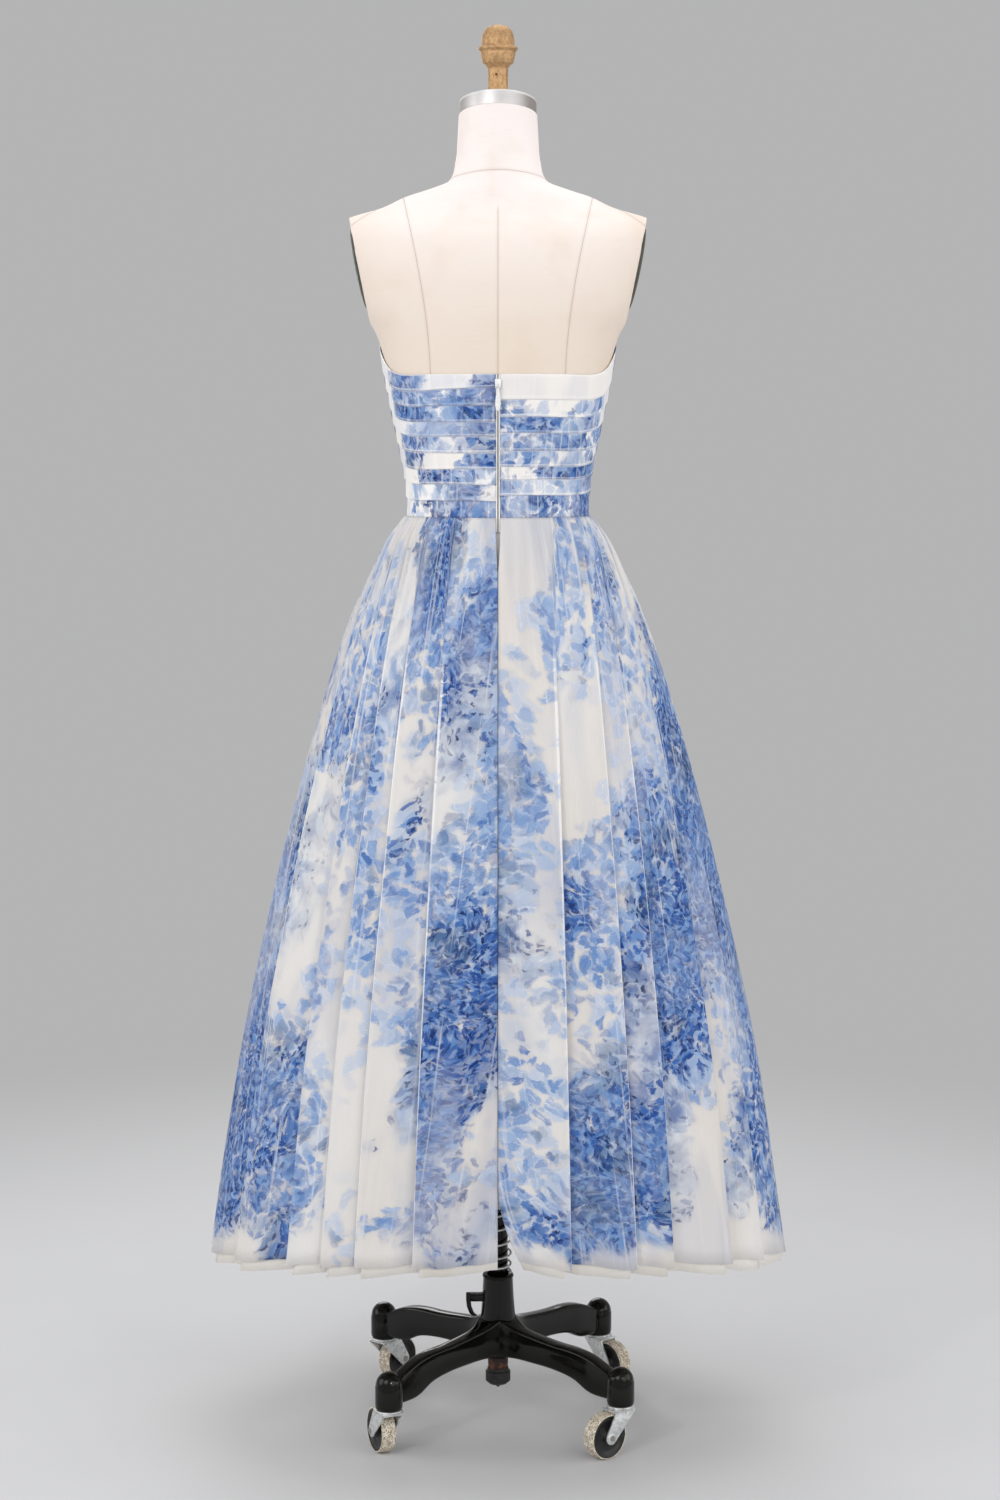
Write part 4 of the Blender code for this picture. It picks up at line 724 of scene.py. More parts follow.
def rust(name):
    p, place = objectPaint(name)
    scale = p.noise(place, 140, 5, 0.7)
    colour = p.coats(
        tone(44, 34, 30), (scale, 0.5, 0.66, 1, tone(128, 70, 46)), (scale, 0.6, 0.74, 1, tone(60, 70, 74)),
    )
    return p.set(
        colour=colour, roughness=0.55 + 0.3 * scale, metallic=0.25 * scale, normal=p.bump(scale, 0.0006, 0.6),
    )


def board(name):
    p, place = objectPaint(name)
    grain = p.stretched(place, (6, 90, 90), 4, 0.6)
    colour = p.coats(tone(178, 142, 102), (grain, 0.35, 0.65, 1, tone(134, 98, 66)))
    return p.set(colour=colour, roughness=0.55 + 0.2 * grain, normal=p.bump(grain, 0.0004, 0.5))


def zipTape(name):
    p, place = objectPaint(name)
    teeth = p.bands(place, "Z", 380)
    colour = p.mix(teeth * 0.25, tone(244, 242, 238), tone(214, 212, 208))
    # A painted shadow line down the middle, between the two rows of teeth
    colour = p.coats(colour, (p.size(p.parts(place)[0]), 0.0009, 0.0004, 0.95, tone(64, 64, 68)))
    return p.set(colour=colour, roughness=0.45 + 0.2 * teeth, normal=p.bump(teeth, 0.0002, 0.4))


def whiteEnamel(name, base, alpha):
    p, place = objectPaint(name)
    swirl = p.noise(place, 300, 3, 0.6)
    colour = p.coats(base, (swirl, 0.4, 0.7, 0.6, tone(222, 221, 219)))
    return p.set(
        colour=colour, roughness=0.18 + 0.15 * swirl, alpha=alpha, coat=0.5, coatRoughness=0.1,
        normal=p.bump(swirl, 0.0001, 0.2),
    )


linenFinish = linen("formLinen")
steelFinish = brushedSteel("brushedSteel")
brassFinish = agedBrass("agedBrass")
enamelFinish = blackEnamel("blackEnamel")
zincFinish = zinc("zincPlate")
treadFinish = wornTread("wornTread", 0.13)
rimFinish = wornTread("creamRubber", 0)
boltFinish = darkPlastic("castorBolt", tone(150, 148, 142), tone(92, 84, 76), 0.3)
wheelDiscFinish = darkPlastic("wheelDisc", tone(20, 19, 19), tone(48, 46, 44), 0.35)
rubberFinish = darkPlastic("blackRubber", tone(17, 17, 17), tone(46, 44, 42), 0.5)
plateFinish = darkPlastic("armPlate", tone(60, 62, 50), tone(92, 94, 80), 0.4)
rustFinish = rust("rustySteel")
boardFinish = board("formBoard")
zipFinish = zipTape("zipTape")
sliderFinish = whiteEnamel("zipSlider", tone(250, 250, 249), 1)
pullFinish = whiteEnamel("zipPull", tone(252, 252, 251), 0.94)


# Camera, light and floor

view = {
    "place": (0.0026, -3.788, 1.3),
    "lens": 69.9,
    "downwards": 1.93,  # degrees
    "shift": -0.15,
    "backdrop": tone(180, 180, 181),
}

# name, place, aims at, size, watts
lamps = [
    ("keyLight", (-1.9, -3.4, 3), (0, 0, 0.9), 3, 40),
    ("fillLight", (2.2, -3.2, 2), (0, 0, 0.8), 3, 33),
    ("leftLight", (-3.2, -0.6, 1.6), (0, 0, 0.9), 2.6, 30),
    ("rightLight", (3.2, -0.6, 1.6), (0, 0, 0.9), 2.6, 25),
    ("leftSpark", (-1.5, -2.6, 2.4), (0, 0, 0.3), 0.2, 8),
    ("rightSpark", (1.1, -3, 1.9), (0, 0, 0.3), 0.16, 5.5),
    ("topLight", (0.2, 0.6, 3.7), (0, 0, 0.9), 2.6, 28),
    ("backLight", (-0.6, 3.4, 2.2), (0, 0, 0.8), 2.4, 40),
]


def makeStage():
    scene = bpy.context.scene
    camera = bpy.data.objects.new("camera", bpy.data.cameras.new("camera"))
    camera.location = view["place"]
    camera.rotation_euler = (math.radians(90 - view["downwards"]), 0, 0)
    camera.data.lens, camera.data.sensor_width, camera.data.shift_y = view["lens"], 36, view["shift"]
    scene.collection.objects.link(camera)
    scene.camera = camera

    for name, place, target, size, watts in lamps:
        lamp = bpy.data.objects.new(name, bpy.data.lights.new(name, "AREA"))
        lamp.data.shape, lamp.data.size, lamp.data.energy = "DISK", size, watts
        lamp.location = place
        lamp.rotation_euler = (Vector(target) - Vector(place)).to_track_quat("-Z", "Y").to_euler()
        scene.collection.objects.link(lamp)

    scene.world = bpy.data.worlds.new("studio")
    scene.world.use_nodes = True
    backdrop = scene.world.node_tree.nodes["Background"].inputs
    backdrop["Color"].default_value, backdrop["Strength"].default_value = (*view["backdrop"], 1), 1

    p, place = objectPaint("paleFloor")
    colour = p.mix(p.noise(place, 3), tone(208, 208, 209), tone(202, 202, 203))
    distance = p.vector("LENGTH", place, output="Value")
    p.set(colour=colour, roughness=0.75, alpha=p.rise(distance, 2.4, 0.75), specular=0.2)
    bpy.ops.object.select_all(action="DESELECT")
    bpy.ops.mesh.primitive_circle_add(vertices=96, radius=2.5, fill_type="NGON")
    floor = bpy.context.object
    floor.name = "floor"
    floor.data.materials.append(p.material)
    scene.view_settings.view_transform = "Standard"


print("stage")
makeStage()

tulle = {
    "name": "skirt", "slot": "printed_tulle", "finish": printedCloth("printedTulle", 0.66),
    "fine": 4, "rows": 64, "wall": 0.0008, "inset": (0, 0), "tuck": 0, "drop": 0,
    "gathers": True, "creases": 1, "curl": True,
}
underskirt = {
    "name": "underskirt", "slot": "underskirt_cloth",
    "finish": plainCloth("underskirtCloth", tone(252, 248, 241), tone(246, 240, 231), 0.97),
    "fine": 3, "rows": 40, "wall": 0.0008, "inset": (0.0023, 0.0041), "tuck": 0.0072, "drop": 0.011,
    "gathers": False, "creases": 1, "curl": True,
}
bodiceFinish = printedCloth("printedBodice", 0, 2.4)
liningFinish = plainCloth("liningCloth", tone(250, 248, 246), tone(240, 238, 238))


# The lining and the bodice

lining = {
    "columns": 160,
    "rows": 48,
    "waves": 10,
    "creaseColumns": 137,  # how closely its small creases stand
    "lift": 0.07,  # how far it ends above the tulle's hem
    "wall": 0.0009,
    "cutShare": 0.7,
    # height, how far inside the tulle, depth of its own soft waves
    "levels": [
        (1.183, 0.0039, 0), (1.115, 0.0095, 0), (0.92, 0.023, 0.002), (0.5, 0.029, 0.0035), (0.236, 0.03, 0.0045),
    ],
}


def makeLining():
    count, last = lining["columns"], lining["rows"] - 1
    plain = {"gathers": False, "tuck": 0, "drop": 0, "creases": 0.8, "curl": False}
    rows, cloth = [], []
    length = skirt["waist"] - skirt["hem"] - lining["lift"]
    for j in range(last + 1):
        z = skirt["waist"] - length * j / last
        section = readTable(skirt["sections"], z)
        inset, wave = readTable(lining["levels"], z)
        row = []
        for i in range(count):
            degrees = 360 * i / count
            out = inset + wave * math.cos(math.radians(degrees) * lining["waves"])
            station = [degrees, degrees, 0, 0, lining["creaseColumns"] * i / count]
            row.append(skirtPoint(section, z, station, plain | {"inset": (out, out)}))
        rows.append(row)
        cloth.append([(360 * i / count * metresPerDegree, skirt["waist"] - z, 0, 0) for i in range(count)])
    inside = wallInside(rows, lining["wall"], True)
    piece = makeSheet("skirtLining", rows, inside, cloth, liningFinish, closed=True)
    describe(piece, "form", "lining_cloth", "lining")


form = {
    # height, half-width, depth behind, depth in front, centre, squareness
    "sections": [
        (0.93, 0.16, 0.118, 0.106, 0, 2.2), (0.99, 0.166, 0.123, 0.11, 0, 2.2),
        (1.05, 0.153, 0.113, 0.103, 0, 2.2), (1.11, 0.131, 0.098, 0.092, 0, 2),
        (1.15, 0.118, 0.0885, 0.087, 0, 2), (1.183, 0.114, 0.085, 0.085, 0, 2),
        (1.212, 0.115, 0.0856, 0.089, 0, 2), (1.244, 0.1188, 0.0884, 0.098, 0, 2),
        (1.3, 0.1302, 0.096, 0.129, 0, 2.1), (1.345, 0.1396, 0.1015, 0.145, 0, 2.1),
        (1.387, 0.1478, 0.106, 0.144, 0, 2.2), (1.418, 0.157, 0.1085, 0.133, 0, 2.2),
        (1.45, 0.175, 0.11, 0.12, 0, 2.2), (1.5, 0.195, 0.108, 0.106, 0, 2.2),
        (1.54, 0.208, 0.098, 0.088, 0, 2.2), (1.56, 0.208, 0.082, 0.074, 0, 2.2),
        (1.57, 0.194, 0.07, 0.065, 0, 2.2), (1.583, 0.151, 0.062, 0.06, 0, 2.2),
        (1.597, 0.121, 0.058, 0.057, 0.001, 2.2), (1.608, 0.088, 0.056, 0.056, 0.002, 2.1),
        (1.618, 0.064, 0.0545, 0.055, 0.003, 2), (1.645, 0.055, 0.052, 0.053, 0.006, 2),
        (1.672, 0.0527, 0.0505, 0.0505, 0.009, 2), (1.722, 0.0502, 0.0502, 0.0502, 0.013, 2),
    ],
    "columns": 128,
    "step": 0.0075,  # between rings, and over the shoulders: from, to, step
    "shoulders": (1.53, 1.66, 0.0028),
    "pressed": (1.36, 0.0006),  # under the bodice, below this height, by how much
    "neckTilt": 13.4,
    "neckRing": (0.012, 1.703),  # y, z of its lower face
    "armTop": (0.1912, 1.566),
    "armBottom": (0.1672, 1.445),
}


def formPoint(z, degrees, outwards=0):
    halfWidth, back, front, middle, squareness = readTable(form["sections"], z)
    sine, cosine = math.sin(math.radians(degrees)), math.cos(math.radians(degrees))
    share = (1 + math.tanh(cosine * 6)) / 2
    depth = front + (back - front) * share
    power = 2 / squareness
    x = (halfWidth + outwards) * math.copysign(abs(sine) ** power, sine)
    y = middle - (depth + outwards) * math.copysign(abs(cosine) ** power, cosine)
    return Vector((x, y, z))


bodice = {
    "waist": 1.183,
    # turn from the centre back, height of the top edge
    "topEdge": [
        (0, 1.367), (30, 1.367), (56, 1.367), (72, 1.376), (90, 1.402),
        (110, 1.41), (150, 1.416), (180, 1.406),
    ],
    "ease": 0.0017,
    "plain": 0.0029,
    "pleat": 0.005,
    "nose": 0.0007,
    "step": 2,  # degrees between columns
    "metresPerDegree": 0.0023,
    "zipEdge": 0.0028,
    "sideSeam": 86,
    "seamTurn": 0.08,  # half of the seam's gap, in degrees
    "plainFrom": {"left": 75, "right": 77},  # no print from here to the side seam
    "plainFade": 8,  # degrees over which it fades
    "slant": 0.0045,
    "unevenEdge": 0.0012,
    "ripple": 0.0004,
    "hiddenCloth": 0.022,  # folded away behind each pleat
    "pleatCloth": 0.004,  # and how much of that is cut
    "leftPleats": (0.12, 0.22, 0.33, 0.43, 0.545, 0.66, 0.765, 0.88),
    "rightPleats": (0.175, 0.295, 0.405, 0.53, 0.64, 0.73, 0.84),
    "frontPleats": (0.125, 0.215, 0.305, 0.4, 0.498, 0.62, 0.74, 0.87),
}


def topEdge(degrees):
    turn = abs(((degrees + 180) % 360) - 180)
    return readTable(bodice["topEdge"], turn)[0]


def bodiceColumn(degrees, pleats, slant, side, seed):
    top, bottom = topEdge(degrees), bodice["waist"] + seamGap
    plain, pleat, nose = bodice["plain"], bodice["pleat"], bodice["nose"]
    turn = min(degrees, 360 - degrees)
    points, words = [], []
    start = top
    for number, share in enumerate((*pleats, 1)):
        last = number == len(pleats)
        uneven = noise.noise(Vector((degrees * 0.035, number * 3, seed))) * bodice["unevenEdge"]
        edge = top - (top - bottom) * share + (0 if number else slant) + (0 if last else uneven)
        show = 0.55 + 0.36 * noise.noise(Vector((degrees * 0.028, number * 2.7, seed + 9)))
        if side == "right" and number == 0:
            show = 0
        if side == "left" or side == "right" and number <= 2:
            show *= clamp((bodice["plainFrom"][side] - turn) / bodice["plainFade"])
        ripple = noise.noise(Vector((degrees * 0.06, number * 5, seed + 4))) * bodice["ripple"]
        rows = []  # height, how far out, edge light
        # Painted edge highlights: a light line along each band's lower edge, and light where a band starts under the
        # one above, against its shadow
        for part, light in ((0, 1), (0.05, 0.7), (0.25, 0), (0.5, 0), (0.75, 0), (0.9, 0.8)):
            out = plain + (pleat - plain) * part**0.8 + ripple * math.sin(math.pi * part)
            if number == part == 0:
                out -= 0.0005
            rows.append((start + (edge + nose - start) * part, out, 0 if last else light))
        if last:
            rows.append((edge, pleat, 0))
        else:
            rows += [
                (edge + nose, pleat, 0.6), (edge + nose * 0.3, pleat - nose * 0.3, 1), (edge, pleat - nose, 1),
                (edge + nose * 0.6, plain + 0.0002, 1),
            ]
        points += [(z, out) for z, out, _ in rows]
        words += [(number, show, light) for _, _, light in rows]
        start = edge + nose * 0.4
    return points, words, top, bottom


def makeBodicePiece(name, node, side, start, end, pleats, seed):
    count = int(round((end - start) / bodice["step"])) + 1
    outside, inside, cloth = [], [], []
    for i in range(count):
        degrees = start + (end - start) * i / (count - 1)
        slant = bodice["slant"] * i / (count - 1) if side == "left" else 0
        points, words, top, bottom = bodiceColumn(degrees, pleats, slant, side, seed)
        last = len(points) - 1
        outer = [formPoint(z, degrees, out) for z, out in points]
        inner = [formPoint(top + (bottom - top) * k / last, degrees, bodice["ease"]) for k in range(last + 1)]
        if side != "front" and i == (0 if side == "right" else count - 1):
            for point in outer + inner:  # the zip lies between the halves
                point.x = bodice["zipEdge"] if side == "right" else -bodice["zipEdge"]
        outside.append(outer)
        inside.append(inner)
        around = (degrees if degrees <= 180 else degrees - 360) * bodice["metresPerDegree"] + seed * 1.31
        cloth.append([
            (around + number * 0.137 * (1 + number % 3), top - point.z + number * bodice["hiddenCloth"] + seed, *others)
            for point, (number, *others) in zip(outer, words)
        ])
    outside, inside, cloth = ([list(row) for row in zip(*columns)] for columns in (outside, inside, cloth))
    piece = makeSheet(name, outside, inside, cloth, bodiceFinish)
    describe(piece, "form", "printed_tulle", node)
    width = (end - start) * bodice["metresPerDegree"]
    length = topEdge((start + end) / 2) - bodice["waist"] + len(pleats) * bodice["pleatCloth"]


def makeBodice():
    right, front = bodice["sideSeam"] - bodice["seamTurn"], bodice["sideSeam"] + bodice["seamTurn"]
    for name, node, side, start, end, seed in (
        ("bodiceBackRight", "bodice_back_right", "right", 0, right, 5.3),
        ("bodiceFront", "bodice_front", "front", front, 360 - front, 2.1),
        ("bodiceBackLeft", "bodice_back_left", "left", 360 - right, 360, 8.6),
    ):
        makeBodicePiece(name, node, side, start, end, bodice[side + "Pleats"], seed)


# Hard pieces, modelled one by one

def pick(piece):
    bpy.ops.object.select_all(action="DESELECT")
    piece.select_set(True)
    bpy.context.view_layer.objects.active = piece


def settle(piece):  # its place goes into its mesh
    pick(piece)
    bpy.ops.object.transform_apply(location=True, rotation=True, scale=True)


def startPiece(name, kind, **words):
    bpy.ops.object.select_all(action="DESELECT")
    getattr(bpy.ops.mesh, "primitive_" + kind + "_add")(**words)
    piece = bpy.context.object
    piece.name = piece.data.name = name
    settle(piece)
    return piece


def editAll():
    bpy.ops.object.mode_set(mode="EDIT")
    bpy.ops.mesh.select_all(action="SELECT")


def editDone():
    bpy.ops.object.mode_set(mode="OBJECT")


def fixNormals(piece):
    pick(piece)
    editAll()
    bpy.ops.mesh.remove_doubles(threshold=0.00001)
    bpy.ops.mesh.normals_make_consistent(inside=False)
    editDone()


def extrudeTo(move, grow, centre):
    bpy.ops.mesh.extrude_region_move(TRANSFORM_OT_translate={"value": move})
    bpy.ops.transform.resize(value=grow, center_override=centre)


def turnedPiece(name, profile, steps=48, ring=False):
    # The profile is (radius, height) points; a ring's profile comes back to its start
    radius, height = profile[0]
    fill = "NOTHING" if ring else "NGON"
    piece = startPiece(name, "circle", vertices=steps, radius=radius, fill_type=fill, location=(0, 0, height))
    editAll()
    for nextRadius, nextHeight in [*profile[1:], profile[0]] if ring else profile[1:]:
        grow = nextRadius / radius
        extrudeTo((0, 0, nextHeight - height), (grow, grow, 1), (0, 0, nextHeight))
        radius, height = nextRadius, nextHeight
    editDone()
    fixNormals(piece)
    return piece


def arc(centre, radius, start, end, steps, flat=1):  # (radius, height) points of a rounding
    angles = [math.radians(start + (end - start) * i / steps) for i in range(steps + 1)]
    return [(centre[0] + radius * math.cos(a), centre[1] + radius * flat * math.sin(a)) for a in angles]


def changed(piece, kind, **words):  # a modifier, applied at once
    pick(piece)
    modifier = piece.modifiers.new(kind.lower(), kind)
    for key, value in words.items():
        setattr(modifier, key, value)
    bpy.ops.object.modifier_apply(modifier=modifier.name)
    return piece


def rounded(piece, width, segments=3, angle=30):
    words = {"limit_method": "ANGLE", "angle_limit": math.radians(angle), "harden_normals": False}
    return changed(piece, "BEVEL", width=width, segments=segments, **words)


def combined(piece, other, operation):
    changed(piece, "BOOLEAN", operation=operation, object=other, solver="EXACT")
    remove(other)


def remove(*pieces):
    for piece in pieces:
        bpy.data.objects.remove(piece, do_unlink=True)


def sweptPiece(name, stations, bevel, turn=(0, 0, 0)):  # a square, drawn on from place to place
    start, size = stations[0]
    piece = startPiece(name, "plane", size=1, location=start, rotation=turn)
    editAll()
    bpy.ops.transform.resize(value=size, center_override=start)
    for (before, old), (place, size) in zip(stations, stations[1:]):
        move, grow = Vector(place) - Vector(before), [new / was for new, was in zip(size, old)]
        extrudeTo(move, grow, place)
    editDone()
    fixNormals(piece)
    return rounded(piece, bevel, 3, 50)


def stretchedDisc(name, place, size, **disc):  # the hull of a disc and a box
    piece = startPiece(name, "cylinder", **disc)
    bpy.ops.object.mode_set(mode="EDIT")
    bpy.ops.mesh.primitive_cube_add(size=1, location=place, scale=size)
    bpy.ops.mesh.select_all(action="SELECT")
    bpy.ops.mesh.convex_hull()
    editDone()
    return piece


def lofted(name, rings):  # a closed skin through rings of points, the lowest first
    bm = bmesh.new()
    rings = [[bm.verts.new(point) for point in ring] for ring in rings]
    for lower, upper in zip(rings, rings[1:]):
        for i in range(len(lower)):
            k = (i + 1) % len(lower)
            bm.faces.new((lower[i], lower[k], upper[k], upper[i]))
    bm.faces.new(reversed(rings[0]))
    bm.faces.new(rings[-1])
    bmesh.ops.recalc_face_normals(bm, faces=bm.faces)
    return meshPiece(name, bm)


def moved(piece, matrix):
    piece.matrix_world = matrix @ piece.matrix_world
    settle(piece)
    return piece


def copied(piece, name, matrix):
    twin = piece.copy()
    twin.data = piece.data.copy()
    twin.name = twin.data.name = name
    bpy.context.scene.collection.objects.link(twin)
    return moved(twin, matrix)


def joined(pieces, name):
    pick(pieces[0])
    for piece in pieces:
        piece.select_set(True)
    bpy.ops.object.join()
    pieces[0].name = pieces[0].data.name = name
    return pieces[0]


def painted(piece, finish):
    piece.data.materials.append(finish)
    return piece


def finished(piece, finish, body, slot, node, angle=40):
    if finish is not None:
        piece.data.materials.clear()
        painted(piece, finish)
    pick(piece)
    bpy.ops.object.shade_smooth_by_angle(angle=math.radians(angle))
    describe(piece, body, slot, node)


def block(name, size, centre):
    piece = startPiece(name, "cube", size=1, location=centre)
    editAll()
    bpy.ops.transform.resize(value=size, center_override=centre)
    editDone()
    return piece


def armPlane():  # the form is cut off for the arms along a leaning plane: its middle, slope and normal
    (topX, topZ), (bottomX, bottomZ) = form["armTop"], form["armBottom"]
    slope = Vector((topX - bottomX, 0, topZ - bottomZ))
    return Vector(((topX + bottomX) / 2, 0, (topZ + bottomZ) / 2)), slope, Vector((slope.z, 0, -slope.x))


def makeForm():
    low, high = form["sections"][0][0], form["sections"][-1][0]
    shoulderStart, shoulderEnd, fineStep = form["shoulders"]
    pressedTop, press = form["pressed"]
    heights, z = [low], low
    while z < high - 0.001:
        z += fineStep if shoulderStart < z < shoulderEnd else form["step"]
        heights.append(min(z, high))
    angles = [360 * i / form["columns"] for i in range(form["columns"])]
    piece = lofted("formCover", [[formPoint(z, a, -press if z < pressedTop else 0) for a in angles] for z in heights])
    _, _, normal = armPlane()
    topX, topZ = form["armTop"]
    tilt, (y, z) = math.radians(form["neckTilt"]), form["neckRing"]
    pick(piece)
    for point, facing in (
        ((topX, 0, topZ), normal), ((-topX, 0, topZ), (-normal.x, 0, normal.z)),
        ((0, y, z), (0, math.sin(tilt), math.cos(tilt))),
    ):
        editAll()
        bpy.ops.mesh.bisect(plane_co=point, plane_no=facing, use_fill=True, clear_outer=True)
        editDone()
    rounded(piece, 0.0012, 3, 42)
    finished(piece, linenFinish, "form", "form_linen", "form_torso", angle=45)


neck = {
    "radius": 0.05,
    "height": 0.02,
    "screw": (-0.002, -0.0138, 1.756),
    "screwRadius": 0.0019,
    # radius, height
    "knob": [
        (0.013, 1.7235), (0.013, 1.76), *arc((0.016, 1.764), 0.003, 200, 130, 4), (0.0168, 1.77),
        (0.0196, 1.7712), (0.0213, 1.777), (0.0228, 1.7838), (0.0226, 1.7862),
        *arc((0.024, 1.7905), 0.0022, -70, 75, 6), (0.0222, 1.7938), (0.0216, 1.796),
        (0.0214, 1.801), (0.0204, 1.8075), (0.0186, 1.813), (0.015, 1.8172), (0.01, 1.82), (0.004, 1.8213),
    ],
}


def makeNeck():
    y, z = form["neckRing"]
    tilt = Matrix.Rotation(-math.radians(form["neckTilt"]), 4, "X")
    place = Matrix.Translation((0, y, z)) @ tilt @ Matrix.Translation((0, 0, seamGap))
    radius, height = neck["radius"], neck["height"]
    profile = [
        (radius - 0.001, 0), (radius, 0.0008), (radius, height - 0.0018),
        *arc((radius - 0.0012, height - 0.0016), 0.0012, 20, 90, 3),
        (radius - 0.003, height), (radius - 0.0034, height - 0.0006), (0.014, height - 0.0006),
    ]
    ring = moved(turnedPiece("neckRing", profile, 96), place)
    finished(ring, steelFinish, "form", "brushed_steel", "neck_ring", angle=30)

    knob = rounded(turnedPiece("neckKnob", neck["knob"], 64), 0.0006, 2, 35)
    # The hole for its set screw, in the stem's back
    words = {"vertices": 24, "depth": 0.012, "rotation": (math.pi / 2, 0, 0)}
    hole = startPiece("screwHole", "cylinder", radius=neck["screwRadius"], location=neck["screw"], **words)
    combined(knob, hole, "DIFFERENCE")
    moved(knob, Matrix.Translation((0, y, 0)))
    finished(knob, brassFinish, "form", "aged_brass", "neck_knob", angle=32)


armPlate = {
    "size": (0.11, 0.078),
    "rim": 0.0012,
    "dome": 0.0044,
}


def makeArmPlates():
    middle, slope, normal = armPlane()
    turn = Matrix.Rotation(math.atan2(slope.x, slope.z), 4, "Y") @ Matrix.Rotation(math.pi / 2, 4, "Y")
    # A disc about the z axis becomes an oval one that faces along x
    shape = Matrix.Diagonal((*armPlate["size"], 1, 1))
    place = Matrix.Translation(middle + normal.normalized() * seamGap) @ turn @ shape
    rim, domed = armPlate["rim"], 0.48  # the dome is a little smaller than the disc, whose radius is 0.5
    dome = arc((0, rim), domed, 8, 80, 9, armPlate["dome"] / domed)
    for name, node, side in (("armPlateRight", "arm_plate_right", 1), ("armPlateLeft", "arm_plate_left", -1)):
        plate = turnedPiece(name, [(0.5, 0), (0.5, rim / 2), (0.49, rim), *dome], 72)
        moved(plate, Matrix.Diagonal((side, 1, 1, 1)) @ place)
        fixNormals(plate)
        finished(plate, plateFinish, "form", "dark_plate", node)


stand = {
    "postRadius": 0.013,
    "postTop": 0.9114,
    "postBottom": 0.1006,
    "bore": 0.0146,
    "hubTop": 0.19,
    "hubBottom": 0.083,
    "collar": (0.2975, 0.016, 0.0205),  # height, length, radius
    "springRadius": 0.0168,
    "springWire": 0.00145,
    "springTurns": 7,
    "armReach": 0.2073,
    "armTurn": 3.5,
    "armSteps": 22,
    # distance from the axis, top, bottom, half-width
    "arm": [
        (0.01, 0.139, 0.086, 0.02), (0.027, 0.13, 0.0862, 0.015), (0.04, 0.1255, 0.0861, 0.0112),
        (0.06, 0.1225, 0.0858, 0.0098),
        (0.1, 0.119, 0.085, 0.0096), (0.135, 0.118, 0.08, 0.0096), (0.162, 0.1135, 0.0685, 0.0098),
        (0.1995, 0.0985, 0.0668, 0.0095),
    ],
    "socketRadius": 0.0176,
    "socketTop": 0.11,
    "socketBottom": 0.0632,
}

# which corner, base arm angle from +X, the way the wheel trails
castors = [
    ("back_left", "BackLeft", -135, 113), ("back_right", "BackRight", -45, -140),
    ("front_right", "FrontRight", 45, -49.5), ("front_left", "FrontLeft", 135, 49.5),
]


def castorPlace(degrees):
    angle = math.radians(degrees + stand["armTurn"])
    return Vector((stand["armReach"] * math.cos(angle), stand["armReach"] * math.sin(angle), 0))


def sweptArm(name):
    first, last, steps = stand["arm"][0][0], stand["arm"][-1][0], stand["armSteps"]
    stations = []
    for i in range(steps + 1):
        reach = first + (last - first) * i / steps
        top, bottom, half = readTable(stand["arm"], reach)
        stations.append(((reach, 0, (top + bottom) / 2), (1, 2 * half, top - bottom)))
    return sweptPiece(name, stations, 0.0042, (0, math.pi / 2, 0))


def makeBase():
    bore, hubTop, hubBottom = stand["bore"], stand["hubTop"], stand["hubBottom"]
    hub = [
        (bore, 0.1), (bore, hubTop - 0.0008), (bore + 0.001, hubTop), (0.0176, hubTop),
        *arc((0.018, hubTop - 0.0026), 0.0026, 70, -50, 5), (0.0196, hubTop - 0.0062),
        (0.0207, 0.16), (0.0222, 0.14), (0.024, 0.125), (0.025, 0.118), (0.025, 0.0905), (0.024, 0.085),
        (0.0215, hubBottom), (0.002, hubBottom), (0.002, 0.1),
    ]
    base, arm = turnedPiece("hub", hub, 64, ring=True), sweptArm("arm")
    radius, top, bottom = stand["socketRadius"], stand["socketTop"], stand["socketBottom"]
    dome = radius - 0.0006
    profile = [
        (0.0062, bottom + 0.022), (0.0062, bottom), (radius - 0.003, bottom), (radius - 0.0006, bottom + 0.0014),
        (radius, bottom + 0.005), (radius, top - 0.0185), *arc((0, top - dome), dome, 0, 81, 9),
    ]
    socket = turnedPiece("socket", profile, 48)
    parts = []
    for _, ending, degrees, _ in castors:
        turn = Matrix.Rotation(math.radians(degrees + stand["armTurn"]), 4, "Z")
        parts.append(copied(arm, "arm" + ending, turn))
        parts.append(copied(socket, "socket" + ending, Matrix.Translation(castorPlace(degrees))))
    remove(arm, socket)
    parts.append(rounded(block("leverLug", (0.02, 0.012, 0.01), (-0.0265, 0, 0.1585)), 0.0012, 2))
    for piece in parts:  # one casting: everything is cut together with the hub
        combined(base, piece, "UNION")
    base.name = base.data.name = "castBase"
    rounded(base, 0.0012, 2, 34)
    finished(base, enamelFinish, "stand", "black_enamel", "base", angle=50)

    stub = [
        (0.013, hubBottom - seamGap), (0.0133, 0.08), (0.0131, 0.0695), (0.0124, 0.069), (0.0124, 0.0675),
        (0.013, 0.067), (0.0128, 0.056),
    ]
    cup = [
        (0.0132, 0.063), (0.0136, 0.066), *arc((0.0146, 0.06), 0.0018, 110, 0, 4), (0.0162, 0.058),
        (0.0163, 0.051), *arc((0.0143, 0.0495), 0.002, 0, -80, 4), (0.0118, 0.0448), (0.0034, 0.0444),
    ]
    pin = [(0.0026, 0.046), (0.0026, 0.041), (0.002, 0.0398), (0.0008, 0.0395)]
    pieces = [
        painted(turnedPiece("sleeveStub", stub, 40), rustFinish),
        painted(turnedPiece("rubberCup", cup, 40), rubberFinish),
        painted(turnedPiece("cupPin", pin, 20), rustFinish),
    ]
    finished(joined(pieces, "sleeveFoot"), None, "stand", "black_rubber", "sleeve_foot")


